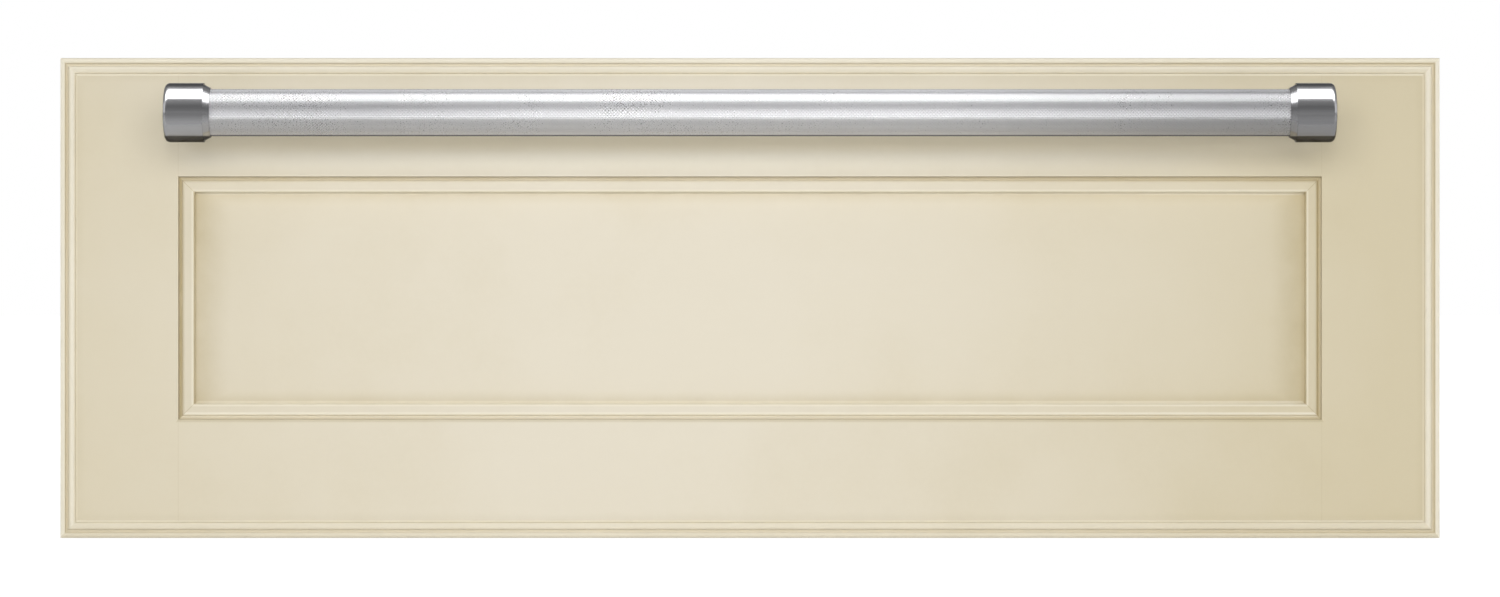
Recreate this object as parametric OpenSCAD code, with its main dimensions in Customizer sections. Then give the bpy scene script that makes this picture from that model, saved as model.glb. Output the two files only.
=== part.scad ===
// Built-in warming drawer for a 30 inch kitchen cabinet, with a framed and panelled wooden front.
// Millimetres. X runs across the front, Y runs into the cabinet, Z is up.
// Y = 0 is the face of the cabinet, and Z = 0 is the shelf that the chassis stands on.

/* [Wooden front] */
// Width of the wooden front
front_w = 756; // [752:1:790]
// Height of the wooden front
front_h = 263; // [258:1:285]
// Thickness of the stiles and rails
front_t = 19; // [18:0.5:24]
// Width of the stiles and of the rails
member_w = 65; // [55:1:75]
// How far the front hangs below the chassis
front_drop = 15; // [12:0.5:20]
// Thickness of the centre panel
field_t = 8; // [6:0.5:9]
// Depth of the centre panel below the face of the frame
field_recess = 8; // [7:0.5:9]
// How deep the centre panel's groove is cut into each member
groove_depth = 9; // [6:0.5:14]
// Radius of the rounding on the outer edge
edge_round_r = 3; // [2:0.25:4]
// Width of the sunk line between the rounding and the bead
quirk_w = 1.6; // [1:0.1:2.5]
// Radius of the bead that runs round the front
edge_bead_r = 2.1; // [1.5:0.1:2.5]
// Width of the fine line inside the bead
fillet_w = 0.9; // [0.5:0.1:1.5]
// Width of the moulding that frames the centre panel
mould_w = 8.4; // [7:0.2:12]
// How far the moulding lies below the face of the frame
mould_drop = 1.6; // [1:0.1:2.5]

/* [Handle] */
// Diameter of the bar
bar_d = 25.4; // [20:0.2:28]
// Wall of the bar
bar_wall = 2; // [1:0.25:3]
// Distance from each side of the front to the end of the handle
handle_inset = 62.5; // [58:0.5:128]
// Diameter of the end caps
cap_d = 32; // [31:0.5:38]
// Length of each end cap
cap_len = 24.8; // [24:0.2:32]
// Length of the tapered collar on each end cap
cap_taper_len = 3.5; // [2:0.5:5]
// Depth of the dished face of each end cap
cap_dish = 0.8; // [0.4:0.1:1.5]
// Distance from the wooden face to the axis of the bar
bar_reach = 48; // [40:1:60]
// Distance from the top of the front down to the axis of the bar
bar_below_top = 31.6; // [26:0.2:36]
// Diameter of the post behind each end cap
post_d = 17; // [15:0.5:18]
// Diameter of the screw that holds each post
handle_screw_d = 5; // [4:0.5:6]

/* [Chassis] */
// Width of the chassis
chassis_w = 717; // [700:1:720]
// Height of the chassis
chassis_h = 229; // [227:0.5:236]
// Depth of the chassis behind the cabinet's face
chassis_d = 560; // [550:1:620]
// Thickness of the sheet steel
sheet_t = 1; // [0.8:0.1:1.2]
// Space for insulation at each side of the cavity
side_pad = 11.5; // [11:0.5:14]
// Space for insulation under the cavity
floor_pad = 12; // [11:0.5:14]
// Space above the cavity for insulation and the controls
top_pad = 27; // [26:0.5:30]
// Space behind the cavity for insulation and wiring
back_pad = 28; // [27:0.5:34]
// Width of the folded flanges of the side walls
wall_flange_w = 10; // [8:0.5:10.5]
// Thickness of the front frame
frame_t = 1.5; // [1.2:0.1:2]
// How far the frame reaches past each side of the chassis
frame_side_over = 15; // [13:0.5:16]
// How far the frame reaches above the chassis, and below it
frame_end_over = 8; // [6:0.5:9]
// Diameter of the holes that screw the frame to the cabinet
fixing_hole_d = 5; // [4:0.25:6]
// Distance between the upper and the lower fixing holes
fixing_spacing_z = 130; // [100:5:150]
// Diameter of the sheet metal screws
screw_d = 3.5; // [3:0.25:4]

/* [Drawer slides] */
// Space between the back end of the slides and the back of the cavity
rail_back_clear = 22; // [8:1:50]
// Height of the slides
rail_h = 46; // [44:0.5:52]
// Thickness of a closed slide
rail_w = 12.7; // [12.3:0.1:14]
// Thickness of the slides' steel
rail_t = 1.2; // [1:0.1:1.3]
// Thickness of the middle member's flanges
middle_flange_t = 1.9; // [1.8:0.1:2.4]
// Diameter of the bearing balls
ball_d = 4; // [3.6:0.1:4.2]
// Number of balls along each race
ball_count = 8; // [4:1:10]
// Distance between balls
ball_pitch = 22; // [16:1:24]
// Height of the slides' centre above the shelf
rail_z = 118; // [100:1:130]
// Distance from the cabinet's face to the front of the slides
rail_setback = 8; // [4:0.5:12]

/* [Drawer] */
// Space between the pan's rim and the back of the cavity
pan_back_clear = 35; // [25:1:75]
// Space between the pan's rim and the top of the cavity
pan_headroom = 20; // [18:1:36]
// Thickness of the pan
pan_t = 1; // [0.8:0.1:1.5]
// Radius of the pan's corners
pan_r = 20; // [10:1:30]
// Width of the rim that the pan hangs by
rim_w = 13; // [12:0.5:16]
// Space between the cavity floor and the pan
pan_clear = 20; // [19:0.5:22]
// Distance from the cabinet's face to the pan
pan_setback = 12; // [10:0.5:20]
// Thickness of the steel that carries the pan
bracket_t = 1.2; // [1:0.1:1.5]
// Height of the carrier behind the pan
back_bracket_h = 70; // [50:1:90]
// Thickness of the insulated shell behind the wooden front
shell_t = 25; // [22:0.5:30]
// Distance from the edge of the wooden front to the edge of the shell
shell_inset = 10; // [8:0.5:12]
// Thickness of the shell's steel
shell_sheet_t = 0.8; // [0.6:0.1:1]
// Thickness of the door seal
seal_t = 6; // [5:0.25:7]
// Width of the door seal
seal_w = 10; // [9:0.5:11]

/* [Heater and rack] */
// Diameter of the heating element
element_d = 6.5; // [5:0.25:8]
// Bend radius of the heating element, on its centre line
element_bend_r = 30; // [20:1:36]
// Height of the heating element's axis above the cavity floor
element_lift = 7.5; // [6:0.25:8.5]
// Height of the top of the element guard above the cavity floor
guard_h = 15; // [14:0.25:16]
// Thickness of the rack's rim wire
rack_rim_d = 5; // [4:0.25:6]
// Thickness of the rack's cross wires
rack_wire_d = 3; // [2:0.25:4]
// Number of cross wires
rack_wires = 15; // [7:2:19]
// Height of the rack's rim above the bottom of the pan
rack_h = 22; // [14:0.5:30]

/* [Controls and vent] */
// Number of push buttons
button_count = 4; // [4:1:4]
// Width of a push button
button_w = 22; // [16:0.5:26]
// Height of a push button
button_h = 8; // [6:0.5:9]
// Distance between buttons
button_pitch = 44; // [38:1:50]
// How far a button travels when it is pressed
button_travel = 1; // [0.6:0.1:1.2]
// Width of the control fascia
fascia_w = 300; // [270:2:340]
// Height of the control fascia
fascia_h = 18; // [16:0.5:19]
// Number of vent slots
vent_slots = 7; // [3:2:9]
// Distance between vent slots, which is twice the slider's travel
vent_pitch = 20; // [18:0.5:24]
// Width of a vent slot
vent_slot_w = 8; // [5:0.5:8.5]

/* [Hidden] */
$fn = 64;

// Clearances
fit_gap = 0.1;          // between wood and wood, and round rivets
slide_gap = 0.3;        // between parts that slide past each other
pad_gap = 0.5;          // round the insulation
cut = 1;                // how far a cutting shape reaches past the surface it cuts

// Depths of the layers of the front, from the cabinet's face outwards
frame_front_y = -frame_t;
shell_back_y = frame_front_y - slide_gap - seal_t;
shell_front_y = shell_back_y - shell_t;
wood_front_y = shell_front_y - front_t;
bar_y = wood_front_y - bar_reach;

// Heights and half widths
front_z0 = -front_drop;
front_z1 = front_z0 + front_h;
front_x = front_w / 2;
bar_z = front_z1 - bar_below_top;
handle_len = front_w - 2 * handle_inset;
wall_x = chassis_w / 2;
cav_x = wall_x - 2 * sheet_t - side_pad;
cav_z0 = 2 * sheet_t + floor_pad;
cav_z1 = chassis_h - 2 * sheet_t - top_pad;
cav_y1 = chassis_d - 2 * sheet_t - back_pad;
shell_x = front_x - shell_inset;
shell_z0 = front_z0 + shell_inset;
shell_z1 = front_z1 - shell_inset;
frame_x = wall_x + frame_side_over;
frame_z0 = -frame_end_over;
frame_z1 = chassis_h + frame_end_over;
fixing_edge = 6.5;      // from the side of the frame to the middle of its holes
fixing_x = frame_x - fixing_edge;
fixing_z = (cav_z0 + cav_z1) / 2;

// Wooden front
edge_w = edge_round_r + quirk_w + 2 * edge_bead_r + fillet_w;
edge_step = 1.5;        // the rounding lies this far below the face
quirk_drop = 3.2;       // depth of the sunk line
fillet_drop = 0.8;      // depth of the fine line
tongue = groove_depth - 1;
groove_stop = 20;       // the grooves end this far from the ends of the stiles
opening_x = front_x - member_w;
opening_z0 = front_z0 + member_w;
opening_z1 = front_z1 - member_w;
field_v1 = front_t - field_recess;
field_v0 = field_v1 - field_t;

// Handle
bar_r = bar_d / 2;
cap_r = cap_d / 2;
socket_floor = 6;       // steel left between a cap's face and the bar
socket_depth = cap_len - socket_floor;
post_x = handle_len / 2 - (cap_len - cap_taper_len) / 2 - 1;
handle_screw_bite = 16;
handle_head_r = 0.95 * handle_screw_d;
handle_head_h = 0.6 * handle_screw_d;
head_sink = 0.2;        // the heads lie this far below the back of the wood

// Screws from the shell's back plate into the rails
front_screw_inset = 100;
front_screw_x = opening_x - front_screw_inset;
front_screws = [
    for (x = [-1, 0, 1]) for (z = [opening_z0 - member_w / 2, opening_z1 + member_w / 2])
        [x * front_screw_x, z]
];
front_screw_bite = 11;

// Slides: x is measured from the cavity wall towards the pan, z from the slide's centre
rail_len = cav_y1 - rail_back_clear - rail_setback;
ball_r = ball_d / 2;
race_gap = 0.25;
race_open = 0.8 * ball_d;
web_gap = 0.3;
cage_t = 0.4;
outer_race_z = rail_h / 2 - rail_t - race_open / 2;
middle_z = outer_race_z - race_open / 2;
inner_race_z = middle_z - middle_flange_t - race_open / 2;
inner_z = inner_race_z - race_open / 2;
middle_x = rail_t + 2 * web_gap + cage_t;
inner_cage_x = middle_x + rail_t + web_gap;
outer_race_x = 0.47 * rail_w;
inner_race_x = 0.55 * rail_w;
cage_len = (ball_count - 1) * ball_pitch + 12;
cage_y = rail_setback + 0.3 * rail_len;
rivet_ys = [rail_setback + 30, rail_setback + rail_len / 2, rail_setback + rail_len - 30];
rivet_r = 2.4;
rail_slot_ys = [for (i = [0.2, 0.6, 0.82]) rail_setback + i * rail_len];

// Drawer
bracket_x = cav_x - rail_w;
rim_z0 = cav_z1 - pan_headroom;
rim_back_y = cav_y1 - pan_back_clear;
pan_x = bracket_x - bracket_t - rim_w;
pan_y0 = pan_setback;
pan_y1 = rim_back_y - rim_w;
pan_z0 = cav_z0 + pan_clear;
pan_len = pan_y1 - pan_y0;
pan_h = rim_z0 - pan_z0;
bracket_skirt = 14;     // how far the side carriers reach below the slides
bracket_z0 = rail_z - rail_h / 2 - bracket_skirt;
bracket_flange = 11;
tab_w = 12;
tab_screw_x = bracket_x - bracket_t - tab_w / 2;
tab_screw_zs = [rail_z - rail_h / 2, rail_z + rail_h / 2];

// Seal, controls and vent
seal_inset = 2;
seal_x = cav_x + seal_inset + seal_w / 2;
seal_z0 = cav_z0 - seal_inset - seal_w / 2;
seal_z1 = cav_z1 + seal_inset + seal_w / 2;
seal_corner_r = 9;
fascia_t = 2.5;
fascia_z0 = seal_z1 + seal_w / 2 + 2;
button_z = fascia_z0 + fascia_h / 2 - 1;
button_x0 = -button_pitch * (button_count - 1) / 2;
button_proud = 1;
button_lip = 1;
button_stem_r = 2;
lens_r = 1.5;
lens_xs = [for (i = [0 : button_count - 1]) button_x0 + i * button_pitch + button_w / 2 + 7];
boss_x = fascia_w / 2 - 14;
boss_r = 3.2;
boss_bite = 5;

// Circuit board: the parts on it are placed from its middle and its lower edge
board_y = 8;
board_t = 1.6;
board_x = fascia_w / 2 - 6;
board_z0 = cav_z1 + sheet_t + 2;
board_z1 = chassis_h - sheet_t - 2;
switch_h = 3;
stem_len = board_y - switch_h - button_travel - 0.2 - slide_gap - button_lip;
relay_xs = [-100, -76];
relay_size = [19, 15, 15];
transformer_x = -30;
transformer_size = [34, 16, 18];
capacitor_xs = [30, 46, 62];
capacitor_r = 5;
capacitor_len = 12;
plug_x = 107;
plug_z = cav_z1 + sheet_t + 11;
plug_w = 28;
plug_h = 12;
plug_d = 9;
sensor_plug_w = 10;

// Vent
vent_z0 = rim_z0 + pan_t + 3.2;
vent_h = 11;
vent_slot_h = 4.5;
vent_sheet_t = 1;
vent_lip = 0.8;
vent_x = (vent_slots + 1) * vent_pitch / 2 + 5;
vent_zc = vent_z0 + vent_h / 2;
vent_xs = [for (i = [0 : vent_slots - 1]) (i - (vent_slots - 1) / 2) * vent_pitch];
vent_tab_x = vent_pitch / 2;

// Element
element_r = element_d / 2;
element_z = cav_z0 + element_lift;
element_x = cav_x - 60;
element_back_y = cav_y1 - 50;
element_front_y = 70;
terminal_x = 40;
terminal_y = cav_y1 + sheet_t + 11;
stud_r = 1.5;
stud_len = 4;
clip_t = 1.2;
clip_w = 16;
clip_foot = 14;
clip_inset = 110;       // from the ends of the element to its clips
clip_ys = [element_front_y + clip_inset, element_back_y - clip_inset];
clip_points = [for (s = [-1, 1]) for (y = clip_ys) [s * element_x, y]];
guard_x = cav_x - 42;
guard_y0 = 44;
guard_y1 = cav_y1 - 24;

// Temperature sensor and limit thermostat, on the back of the cavity
sensor_x = 132;
sensor_z = (rim_z0 + pan_t + cav_z1) / 2 + 1;
sensor_r = 2.5;
sensor_probe = 26;
sensor_tail = 12;
thermostat_x = -sensor_x;
thermostat_z = sensor_z - 20;
thermostat_r = 8;
thermostat_h = 8;
thermostat_tab = 3.5;
thermostat_y = cav_y1 + sheet_t + 14;

// Chassis
base_hole_x = 60;
base_hole_y = 70;
rib_end = 55;           // from the side of the top cover to the end of its ribs
louvre_pitch = 14;
grille_pitch = 20;

// Junction box
box_x = -230;
box_w = 100;
box_h = 84;
box_z0 = 44;
box_d = 24;
bushing_r = 9;
bushing_bore_r = 6.5;
bushing_len = 16;
wire_hole_x = box_x + 30;
wire_hole_z = box_z0 + box_h - 16;
wire_hole_r = 7;
pole_pitch = 17;
pole_y = chassis_d + sheet_t + 5.5;
block_z = box_z0 + 38;
block_h = 18;
block_d = 13;
cover_lip = 11;         // how far the cover reaches over the box
cover_screw_y = chassis_d + box_d - cover_lip / 2;
box_screws = [for (s = [-1, 1]) [box_x + s * (box_w / 2 - 8), box_z0 + box_h / 2 - 6]];

// Wires
wire_r = 1.5;
wire_bend_r = 4;
wire_pitch = 6;         // between wires that run side by side
supply_y = 200;         // where the supply turns aside over the insulation
limit_y = 300;          // where the thermostat's wire does

// Fasteners
screw_r = screw_d / 2;
screw_head_r = 1.9 * screw_r;
screw_head_h = 1.3 * screw_r;
screw_hole_r = screw_r + fit_gap;
cover_screw_ys = [45, chassis_d / 2, chassis_d - 45];
back_screw_zs = [45, chassis_h - 45];

// ---------------------------------------------------------------- helpers

// A box between two corners
module span(a, b) {
    translate(a) cube(b - a);
}

// A rectangle with round corners, centred on the origin
module round_rect(w, h, r) {
    square([w - 2 * r, h], center = true);
    square([w, h - 2 * r], center = true);
    for (x = [-1, 1], y = [-1, 1])
        translate([x * (w / 2 - r), y * (h / 2 - r)]) circle(r);
}

// A flat plate in the XZ plane, reaching from y0 towards -Y
module upright(y0, t) {
    translate([0, y0, 0]) rotate([90, 0, 0]) linear_extrude(t) children();
}

// A cylinder along X, from x0
module along_x(p, r, len) {
    translate(p) rotate([0, 90, 0]) cylinder(r = r, h = len);
}

// A cylinder along Y, from p
module along_y(p, r, len) {
    translate(p) rotate([-90, 0, 0]) cylinder(r = r, h = len);
}

// A slot with round ends, its long side along X
module slot_x(len, w) {
    square([len - w, w], center = true);
    for (s = [-1, 1]) translate([s * (len - w) / 2, 0]) circle(w / 2);
}

// A pan head screw whose head stands up from the origin and whose shank points down
module screw(shank) {
    difference() {
        union() {
            cylinder(r = screw_head_r, h = 0.6 * screw_head_h);
            translate([0, 0, 0.6 * screw_head_h])
                cylinder(r1 = screw_head_r, r2 = 0.7 * screw_head_r, h = 0.4 * screw_head_h);
        }
        for (a = [0, 90]) rotate(a)
            translate([-0.6 * screw_head_r, -0.35, 0.45 * screw_head_h])
                cube([1.2 * screw_head_r, 0.7, cut + screw_head_h]);
    }
    translate([0, 0, -shank]) cylinder(r = screw_r, h = shank);
}

// A shape and its mirror image in the YZ plane
module both_sides() {
    children();
    mirror([1, 0, 0]) children();
}

// ---------------------------------------------------------------- wooden front

// Section of the routed outer edge: x inwards from the edge, y towards the face
module edge_section() {
    bead_x = edge_round_r + quirk_w + edge_bead_r;
    round_v = front_t - edge_step - edge_round_r;
    square([edge_w, round_v]);
    intersection() {
        translate([edge_round_r, round_v]) circle(edge_round_r);
        square([edge_round_r, front_t]);
    }
    translate([edge_round_r, 0]) square([edge_w - edge_round_r, front_t - quirk_drop]);
    translate([bead_x - edge_bead_r, 0]) square([2 * edge_bead_r + fillet_w, front_t - edge_bead_r]);
    translate([bead_x, front_t - edge_bead_r]) circle(edge_bead_r);
    translate([bead_x + edge_bead_r, 0]) square([fillet_w, front_t - fillet_drop]);
}

// Section of the moulding round the centre panel, above the panel's face
module mould_section() {
    top = field_recess - mould_drop;
    quirk = 1.8;            // width of the sunk line against the frame
    shoulder_r = 1.8;
    crown_r = 14;
    nose_r = 1;
    shoulder_x = quirk + shoulder_r;
    square([mould_w, top - 2.2]);
    intersection() {
        translate([0.45 * mould_w, top - crown_r]) circle(crown_r);
        union() {
            translate([quirk, 0]) square([mould_w - quirk, top - shoulder_r]);
            translate([shoulder_x, 0]) square([mould_w - shoulder_x - nose_r, top]);
            translate([shoulder_x, top - shoulder_r]) circle(shoulder_r);
            translate([mould_w - nose_r, top - shoulder_r]) circle(nose_r);
        }
    }
}

// Runs a section along X, with both ends mitred; the section's x points up, away from the edge
module mitred_run(len, w) {
    intersection() {
        rotate([90, 0, 90]) linear_extrude(len) children();
        linear_extrude(front_t + cut) polygon([[0, 0], [len, 0], [len - w, w], [w, w]]);
    }
}

// Four mitred runs round a rectangle that starts at the origin; the section is the child
module mitred_frame(w, h, run_w) {
    mitred_run(w, run_w) children();
    translate([w, h, 0]) rotate(180) mitred_run(w, run_w) children();
    translate([w, 0, 0]) rotate(90) mitred_run(h, run_w) children();
    translate([0, h, 0]) rotate(-90) mitred_run(h, run_w) children();
}

// Places a shape drawn flat, face up, as part of the upright front
module as_front() {
    translate([0, shell_front_y, 0]) rotate([90, 0, 0]) children();
}

// The whole front as one slab with its routed edge, still uncut
module front_blank() {
    translate([-front_x + edge_w, front_z0 + edge_w, 0])
        cube([front_w - 2 * edge_w, front_h - 2 * edge_w, front_t]);
    translate([-front_x, front_z0, 0]) mitred_frame(front_w, front_h, edge_w) edge_section();
}

// The groove that the centre panel and the tenons sit in
module panel_groove() {
    translate([-opening_x - groove_depth, front_z0 + groove_stop, field_v0 - fit_gap])
        cube([2 * (opening_x + groove_depth), front_h - 2 * groove_stop, field_t + 2 * fit_gap]);
}

// Holes for the handle's screws, with a counterbore for each head
module handle_screw_holes() {
    for (s = [-1, 1]) translate([s * post_x, bar_z, -cut]) {
        cylinder(d = handle_screw_d + 2 * fit_gap, h = front_t + 2 * cut);
        cylinder(r = handle_head_r + 1, h = cut + handle_head_h + head_sink);
    }
}

// The left stile
module stile() {
    as_front() difference() {
        intersection() {
            front_blank();
            translate([-front_x, front_z0, 0]) cube([member_w, front_h, front_t]);
        }
        panel_groove();
        handle_screw_holes();
    }
}

// A rail with its tenons, from z0 to z1
module wood_rail(z0, z1) {
    tenon_z0 = max(z0, front_z0 + groove_stop + fit_gap);
    tenon_z1 = min(z1, front_z1 - groove_stop - fit_gap);
    groove_span = opening_z1 - opening_z0 + 2 * groove_depth;
    as_front() difference() {
        union() {
            intersection() {
                front_blank();
                translate([-opening_x, z0, 0]) cube([2 * opening_x, z1 - z0, front_t]);
            }
            translate([-opening_x - tongue, tenon_z0, field_v0])
                cube([2 * (opening_x + tongue), tenon_z1 - tenon_z0, field_t]);
        }
        translate([-opening_x - groove_depth, opening_z0 - groove_depth, field_v0 - fit_gap])
            cube([2 * (opening_x + groove_depth), groove_span, field_t + 2 * fit_gap]);
        handle_screw_holes();
        for (p = front_screws) translate([p.x, p.y, -cut])
            cylinder(r = screw_hole_r, h = cut + front_screw_bite + 0.5);
    }
}

module left_stile() { color("wheat") stile(); }
module right_stile() { color("wheat") mirror([1, 0, 0]) stile(); }
module top_rail() { color("wheat") wood_rail(opening_z1, front_z1); }
module bottom_rail() { color("wheat") wood_rail(front_z0, opening_z0); }

module centre_panel() {
    color("wheat") as_front()
        translate([-opening_x - tongue, opening_z0 - tongue, field_v0])
        cube([2 * (opening_x + tongue), opening_z1 - opening_z0 + 2 * tongue, field_t]);
}

// Four mitred strips, standing on the centre panel against the frame
module panel_moulding() {
    w = 2 * (opening_x - fit_gap);
    h = opening_z1 - opening_z0 - 2 * fit_gap;
    color("wheat") as_front() translate([-opening_x + fit_gap, opening_z0 + fit_gap, field_v1])
        mitred_frame(w, h, mould_w) mould_section();
}

// ---------------------------------------------------------------- handle

module handle_bar() {
    len = handle_len - 2 * (cap_len - socket_depth) - 2 * fit_gap;
    color("silver") difference() {
        along_x([-len / 2, bar_y, bar_z], bar_r, len);
        along_x([-len / 2 - cut, bar_y, bar_z], bar_r - bar_wall, len + 2 * cut);
    }
}

// Half section of a solid end cap: x is the radius, y the distance from its outer face
module cap_section() {
    edge_r = 3;
    collar_r = bar_r + 0.7;
    straight = cap_len - cap_taper_len;
    translate([0, edge_r]) square([cap_r, straight - edge_r]);
    square([cap_r - edge_r, edge_r]);
    intersection() {
        translate([cap_r - edge_r, edge_r]) circle(edge_r);
        square([cap_r, edge_r]);
    }
    polygon([[0, straight - 1], [cap_r - 0.8, straight - 1], [cap_r - 0.8, straight],
        [collar_r, cap_len], [0, cap_len]]);
}

// The cap at the left end, with the post that stands on the wood
module end_cap() {
    difference() {
        union() {
            translate([-handle_len / 2, bar_y, bar_z]) rotate([0, 90, 0]) rotate_extrude() cap_section();
            along_y([-post_x, bar_y, bar_z], post_d / 2, bar_reach);
            along_y([-post_x, wood_front_y - 2.5, bar_z], post_d / 2 + 2, 2.5);
        }
        translate([-handle_len / 2, bar_y, bar_z]) rotate([0, 90, 0]) {
            translate([0, 0, -cut]) cylinder(r = cap_r - 4, h = cut + cap_dish);
            translate([0, 0, cap_len - socket_depth])
                cylinder(r = bar_r + fit_gap / 2, h = socket_depth + cut);
        }
        along_y([-post_x, wood_front_y - handle_screw_bite, bar_z], handle_screw_d / 2 + fit_gap / 2,
            handle_screw_bite + cut);
    }
}

module left_end_cap() { color("gray") end_cap(); }
module right_end_cap() { color("gray") mirror([1, 0, 0]) end_cap(); }

// Screws of the moving part: two for the handle, six for the front, four for the side brackets
module drawer_fasteners() {
    color("silver") {
        for (s = [-1, 1]) translate([s * post_x, shell_front_y - head_sink - handle_head_h, bar_z]) {
            reach = front_t - head_sink - handle_head_h + handle_screw_bite - 3;
            difference() {
                along_y([0, 0, 0], handle_head_r, handle_head_h);
                along_y([0, 0.5 * handle_head_h, 0], 0.3 * handle_screw_d, handle_head_h, $fn = 6);
            }
            along_y([0, -reach, 0], handle_screw_d / 2, reach);
        }
        for (p = front_screws) translate([p.x, shell_front_y + sheet_t, p.y])
            rotate([-90, 0, 0]) screw(sheet_t + front_screw_bite);
        for (s = [-1, 1], z = tab_screw_zs) translate([s * tab_screw_x, shell_back_y + bracket_t, z])
            rotate([-90, 0, 0]) screw(bracket_t + shell_sheet_t + 3);
        both_sides() for (y = rivet_ys) {
            along_x([-bracket_x - rail_t, y, rail_z], rivet_r, rail_t + bracket_t);
            along_x([-bracket_x + bracket_t, y, rail_z], 1.6 * rivet_r, 0.9);
        }
    }
}

// ---------------------------------------------------------------- insulated shell behind the front

module vent_slot_row(dx) {
    for (x = vent_xs) translate([x + dx, vent_zc]) slot_x(vent_slot_w, vent_slot_h);
}

// Pressed tray that faces the cavity, with the vent slots and the guides of the vent slider
module door_liner() {
    mid_y = (shell_back_y + shell_front_y) / 2;
    through = shell_sheet_t + 2 * cut;
    color("silver") {
        difference() {
            span([-shell_x, shell_front_y + sheet_t, shell_z0], [shell_x, shell_back_y, shell_z1]);
            span([-shell_x + shell_sheet_t, shell_front_y - cut, shell_z0 + shell_sheet_t],
                 [shell_x - shell_sheet_t, shell_back_y - shell_sheet_t, shell_z1 - shell_sheet_t]);
            upright(shell_back_y + cut, through) vent_slot_row(0);
            for (x = vent_xs) translate([x, mid_y, shell_z1 - shell_sheet_t - cut])
                linear_extrude(through) slot_x(1.6 * vent_slot_w, vent_slot_h);
            for (s = [-1, 1], z = tab_screw_zs)
                along_y([s * tab_screw_x, shell_back_y - shell_sheet_t - cut, z], screw_hole_r, through);
        }
        vent_guide(vent_z0 - slide_gap, -1);
        vent_guide(vent_z0 + vent_h + slide_gap, 1);
    }
}

// One L-shaped guide on the liner, above (side = 1) or below (side = -1) the slider
module vent_guide(z, side) {
    rail = 1.6;
    depth = vent_sheet_t + 2 * slide_gap;
    z0 = side > 0 ? z : z - rail;
    x0 = -vent_x - vent_pitch / 2;
    span([x0, shell_back_y, z0], [vent_x, shell_back_y + depth + vent_lip, z0 + rail]);
    span([x0, shell_back_y + depth, z - rail], [vent_x, shell_back_y + depth + vent_lip, z + rail]);
}

// Plate that covers the vent slots at rest and uncovers them when it is pushed to the right
module vent_slider() {
    y0 = shell_back_y + slide_gap + vent_sheet_t;
    color("dimgray") {
        difference() {
            translate([-vent_pitch / 2, 0, 0]) upright(y0, vent_sheet_t)
                translate([0, vent_zc]) round_rect(2 * vent_x - 2 * vent_pitch + 20, vent_h, 1.5);
            upright(y0 + cut, vent_sheet_t + 2 * cut) vent_slot_row(-vent_pitch / 2);
        }
        translate([vent_tab_x - vent_pitch / 2, 0, 0]) difference() {
            upright(y0 + 9, 9) translate([0, vent_zc]) round_rect(9, vent_h - 4.4, 2);
            for (z = [-1 : 1]) along_x([-6, y0 + 9, vent_zc + 2 * z], 0.5, 12);
        }
    }
}

module door_backer() {
    color("lightgray") difference() {
        span([-shell_x, shell_front_y, shell_z0], [shell_x, shell_front_y + sheet_t, shell_z1]);
        for (p = front_screws) along_y([p.x, shell_front_y - cut, p.y], screw_hole_r, sheet_t + 2 * cut);
    }
}

// Blanket in the shell, cut away round the vent slots and over the screw heads
module door_insulation() {
    gap = shell_sheet_t + pad_gap;
    head_pocket = sheet_t + screw_head_h + 1;
    color("khaki") difference() {
        span([-shell_x + gap, shell_front_y + sheet_t + slide_gap, shell_z0 + gap],
            [shell_x - gap, shell_back_y - shell_sheet_t - slide_gap, shell_z1 - gap]);
        span([-vent_x, shell_front_y, vent_zc - 6], [vent_x, shell_back_y, shell_z1]);
        for (p = front_screws) along_y([p.x, shell_front_y, p.y], screw_head_r + 1, head_pocket);
        for (s = [-1, 1], z = tab_screw_zs) along_y([s * tab_screw_x, shell_back_y - 6, z], screw_r + 1, 6);
    }
}

// Section of the seal: a flat foot against the shell and a round lip towards the frame
module seal_section() {
    foot = 2;
    translate([-seal_w / 2, 0]) square([seal_w, foot]);
    translate([0, foot]) intersection() {
        circle(seal_t - foot);
        translate([-seal_w / 2, 0]) square([seal_w, seal_t]);
    }
}

// One closed ring of seal round the mouth of the cavity
module door_seal() {
    run_x = 2 * (seal_x - seal_corner_r);
    run_z = seal_z1 - seal_z0 - 2 * seal_corner_r;
    color("dimgray") translate([0, shell_back_y, (seal_z0 + seal_z1) / 2]) {
        for (s = [-1, 1]) {
            translate([-run_x / 2, 0, s * (run_z / 2 + seal_corner_r)]) rotate([90, 0, 90])
                linear_extrude(run_x)
                rotate(-90) seal_section();
            translate([s * (run_x / 2 + seal_corner_r), 0, -run_z / 2]) linear_extrude(run_z)
                seal_section();
        }
        for (sx = [-1, 1], sz = [-1, 1]) translate([sx * run_x / 2, 0, sz * run_z / 2])
            mirror([sx < 0 ? 1 : 0, 0, 0]) mirror([0, 0, sz < 0 ? 1 : 0]) rotate([-90, -90, 0])
            rotate_extrude(angle = 90) translate([seal_corner_r, 0]) seal_section();
    }
}

// ---------------------------------------------------------------- pan and its carriage

// A tub with a round lower edge, standing on z = 0
module tub(w, d, h, r) {
    translate([0, 0, r]) linear_extrude(h - r) round_rect(w, d, r);
    translate([-w / 2 + r, -d / 2 + r, 0]) cube([w - 2 * r, d - 2 * r, r]);
    for (s = [-1, 1]) {
        along_x([-w / 2 + r, s * (d / 2 - r), r], r, w - 2 * r);
        along_y([s * (w / 2 - r), -d / 2 + r, r], r, d - 2 * r);
        for (t = [-1, 1]) translate([s * (w / 2 - r), t * (d / 2 - r), r]) sphere(r);
    }
}

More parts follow.
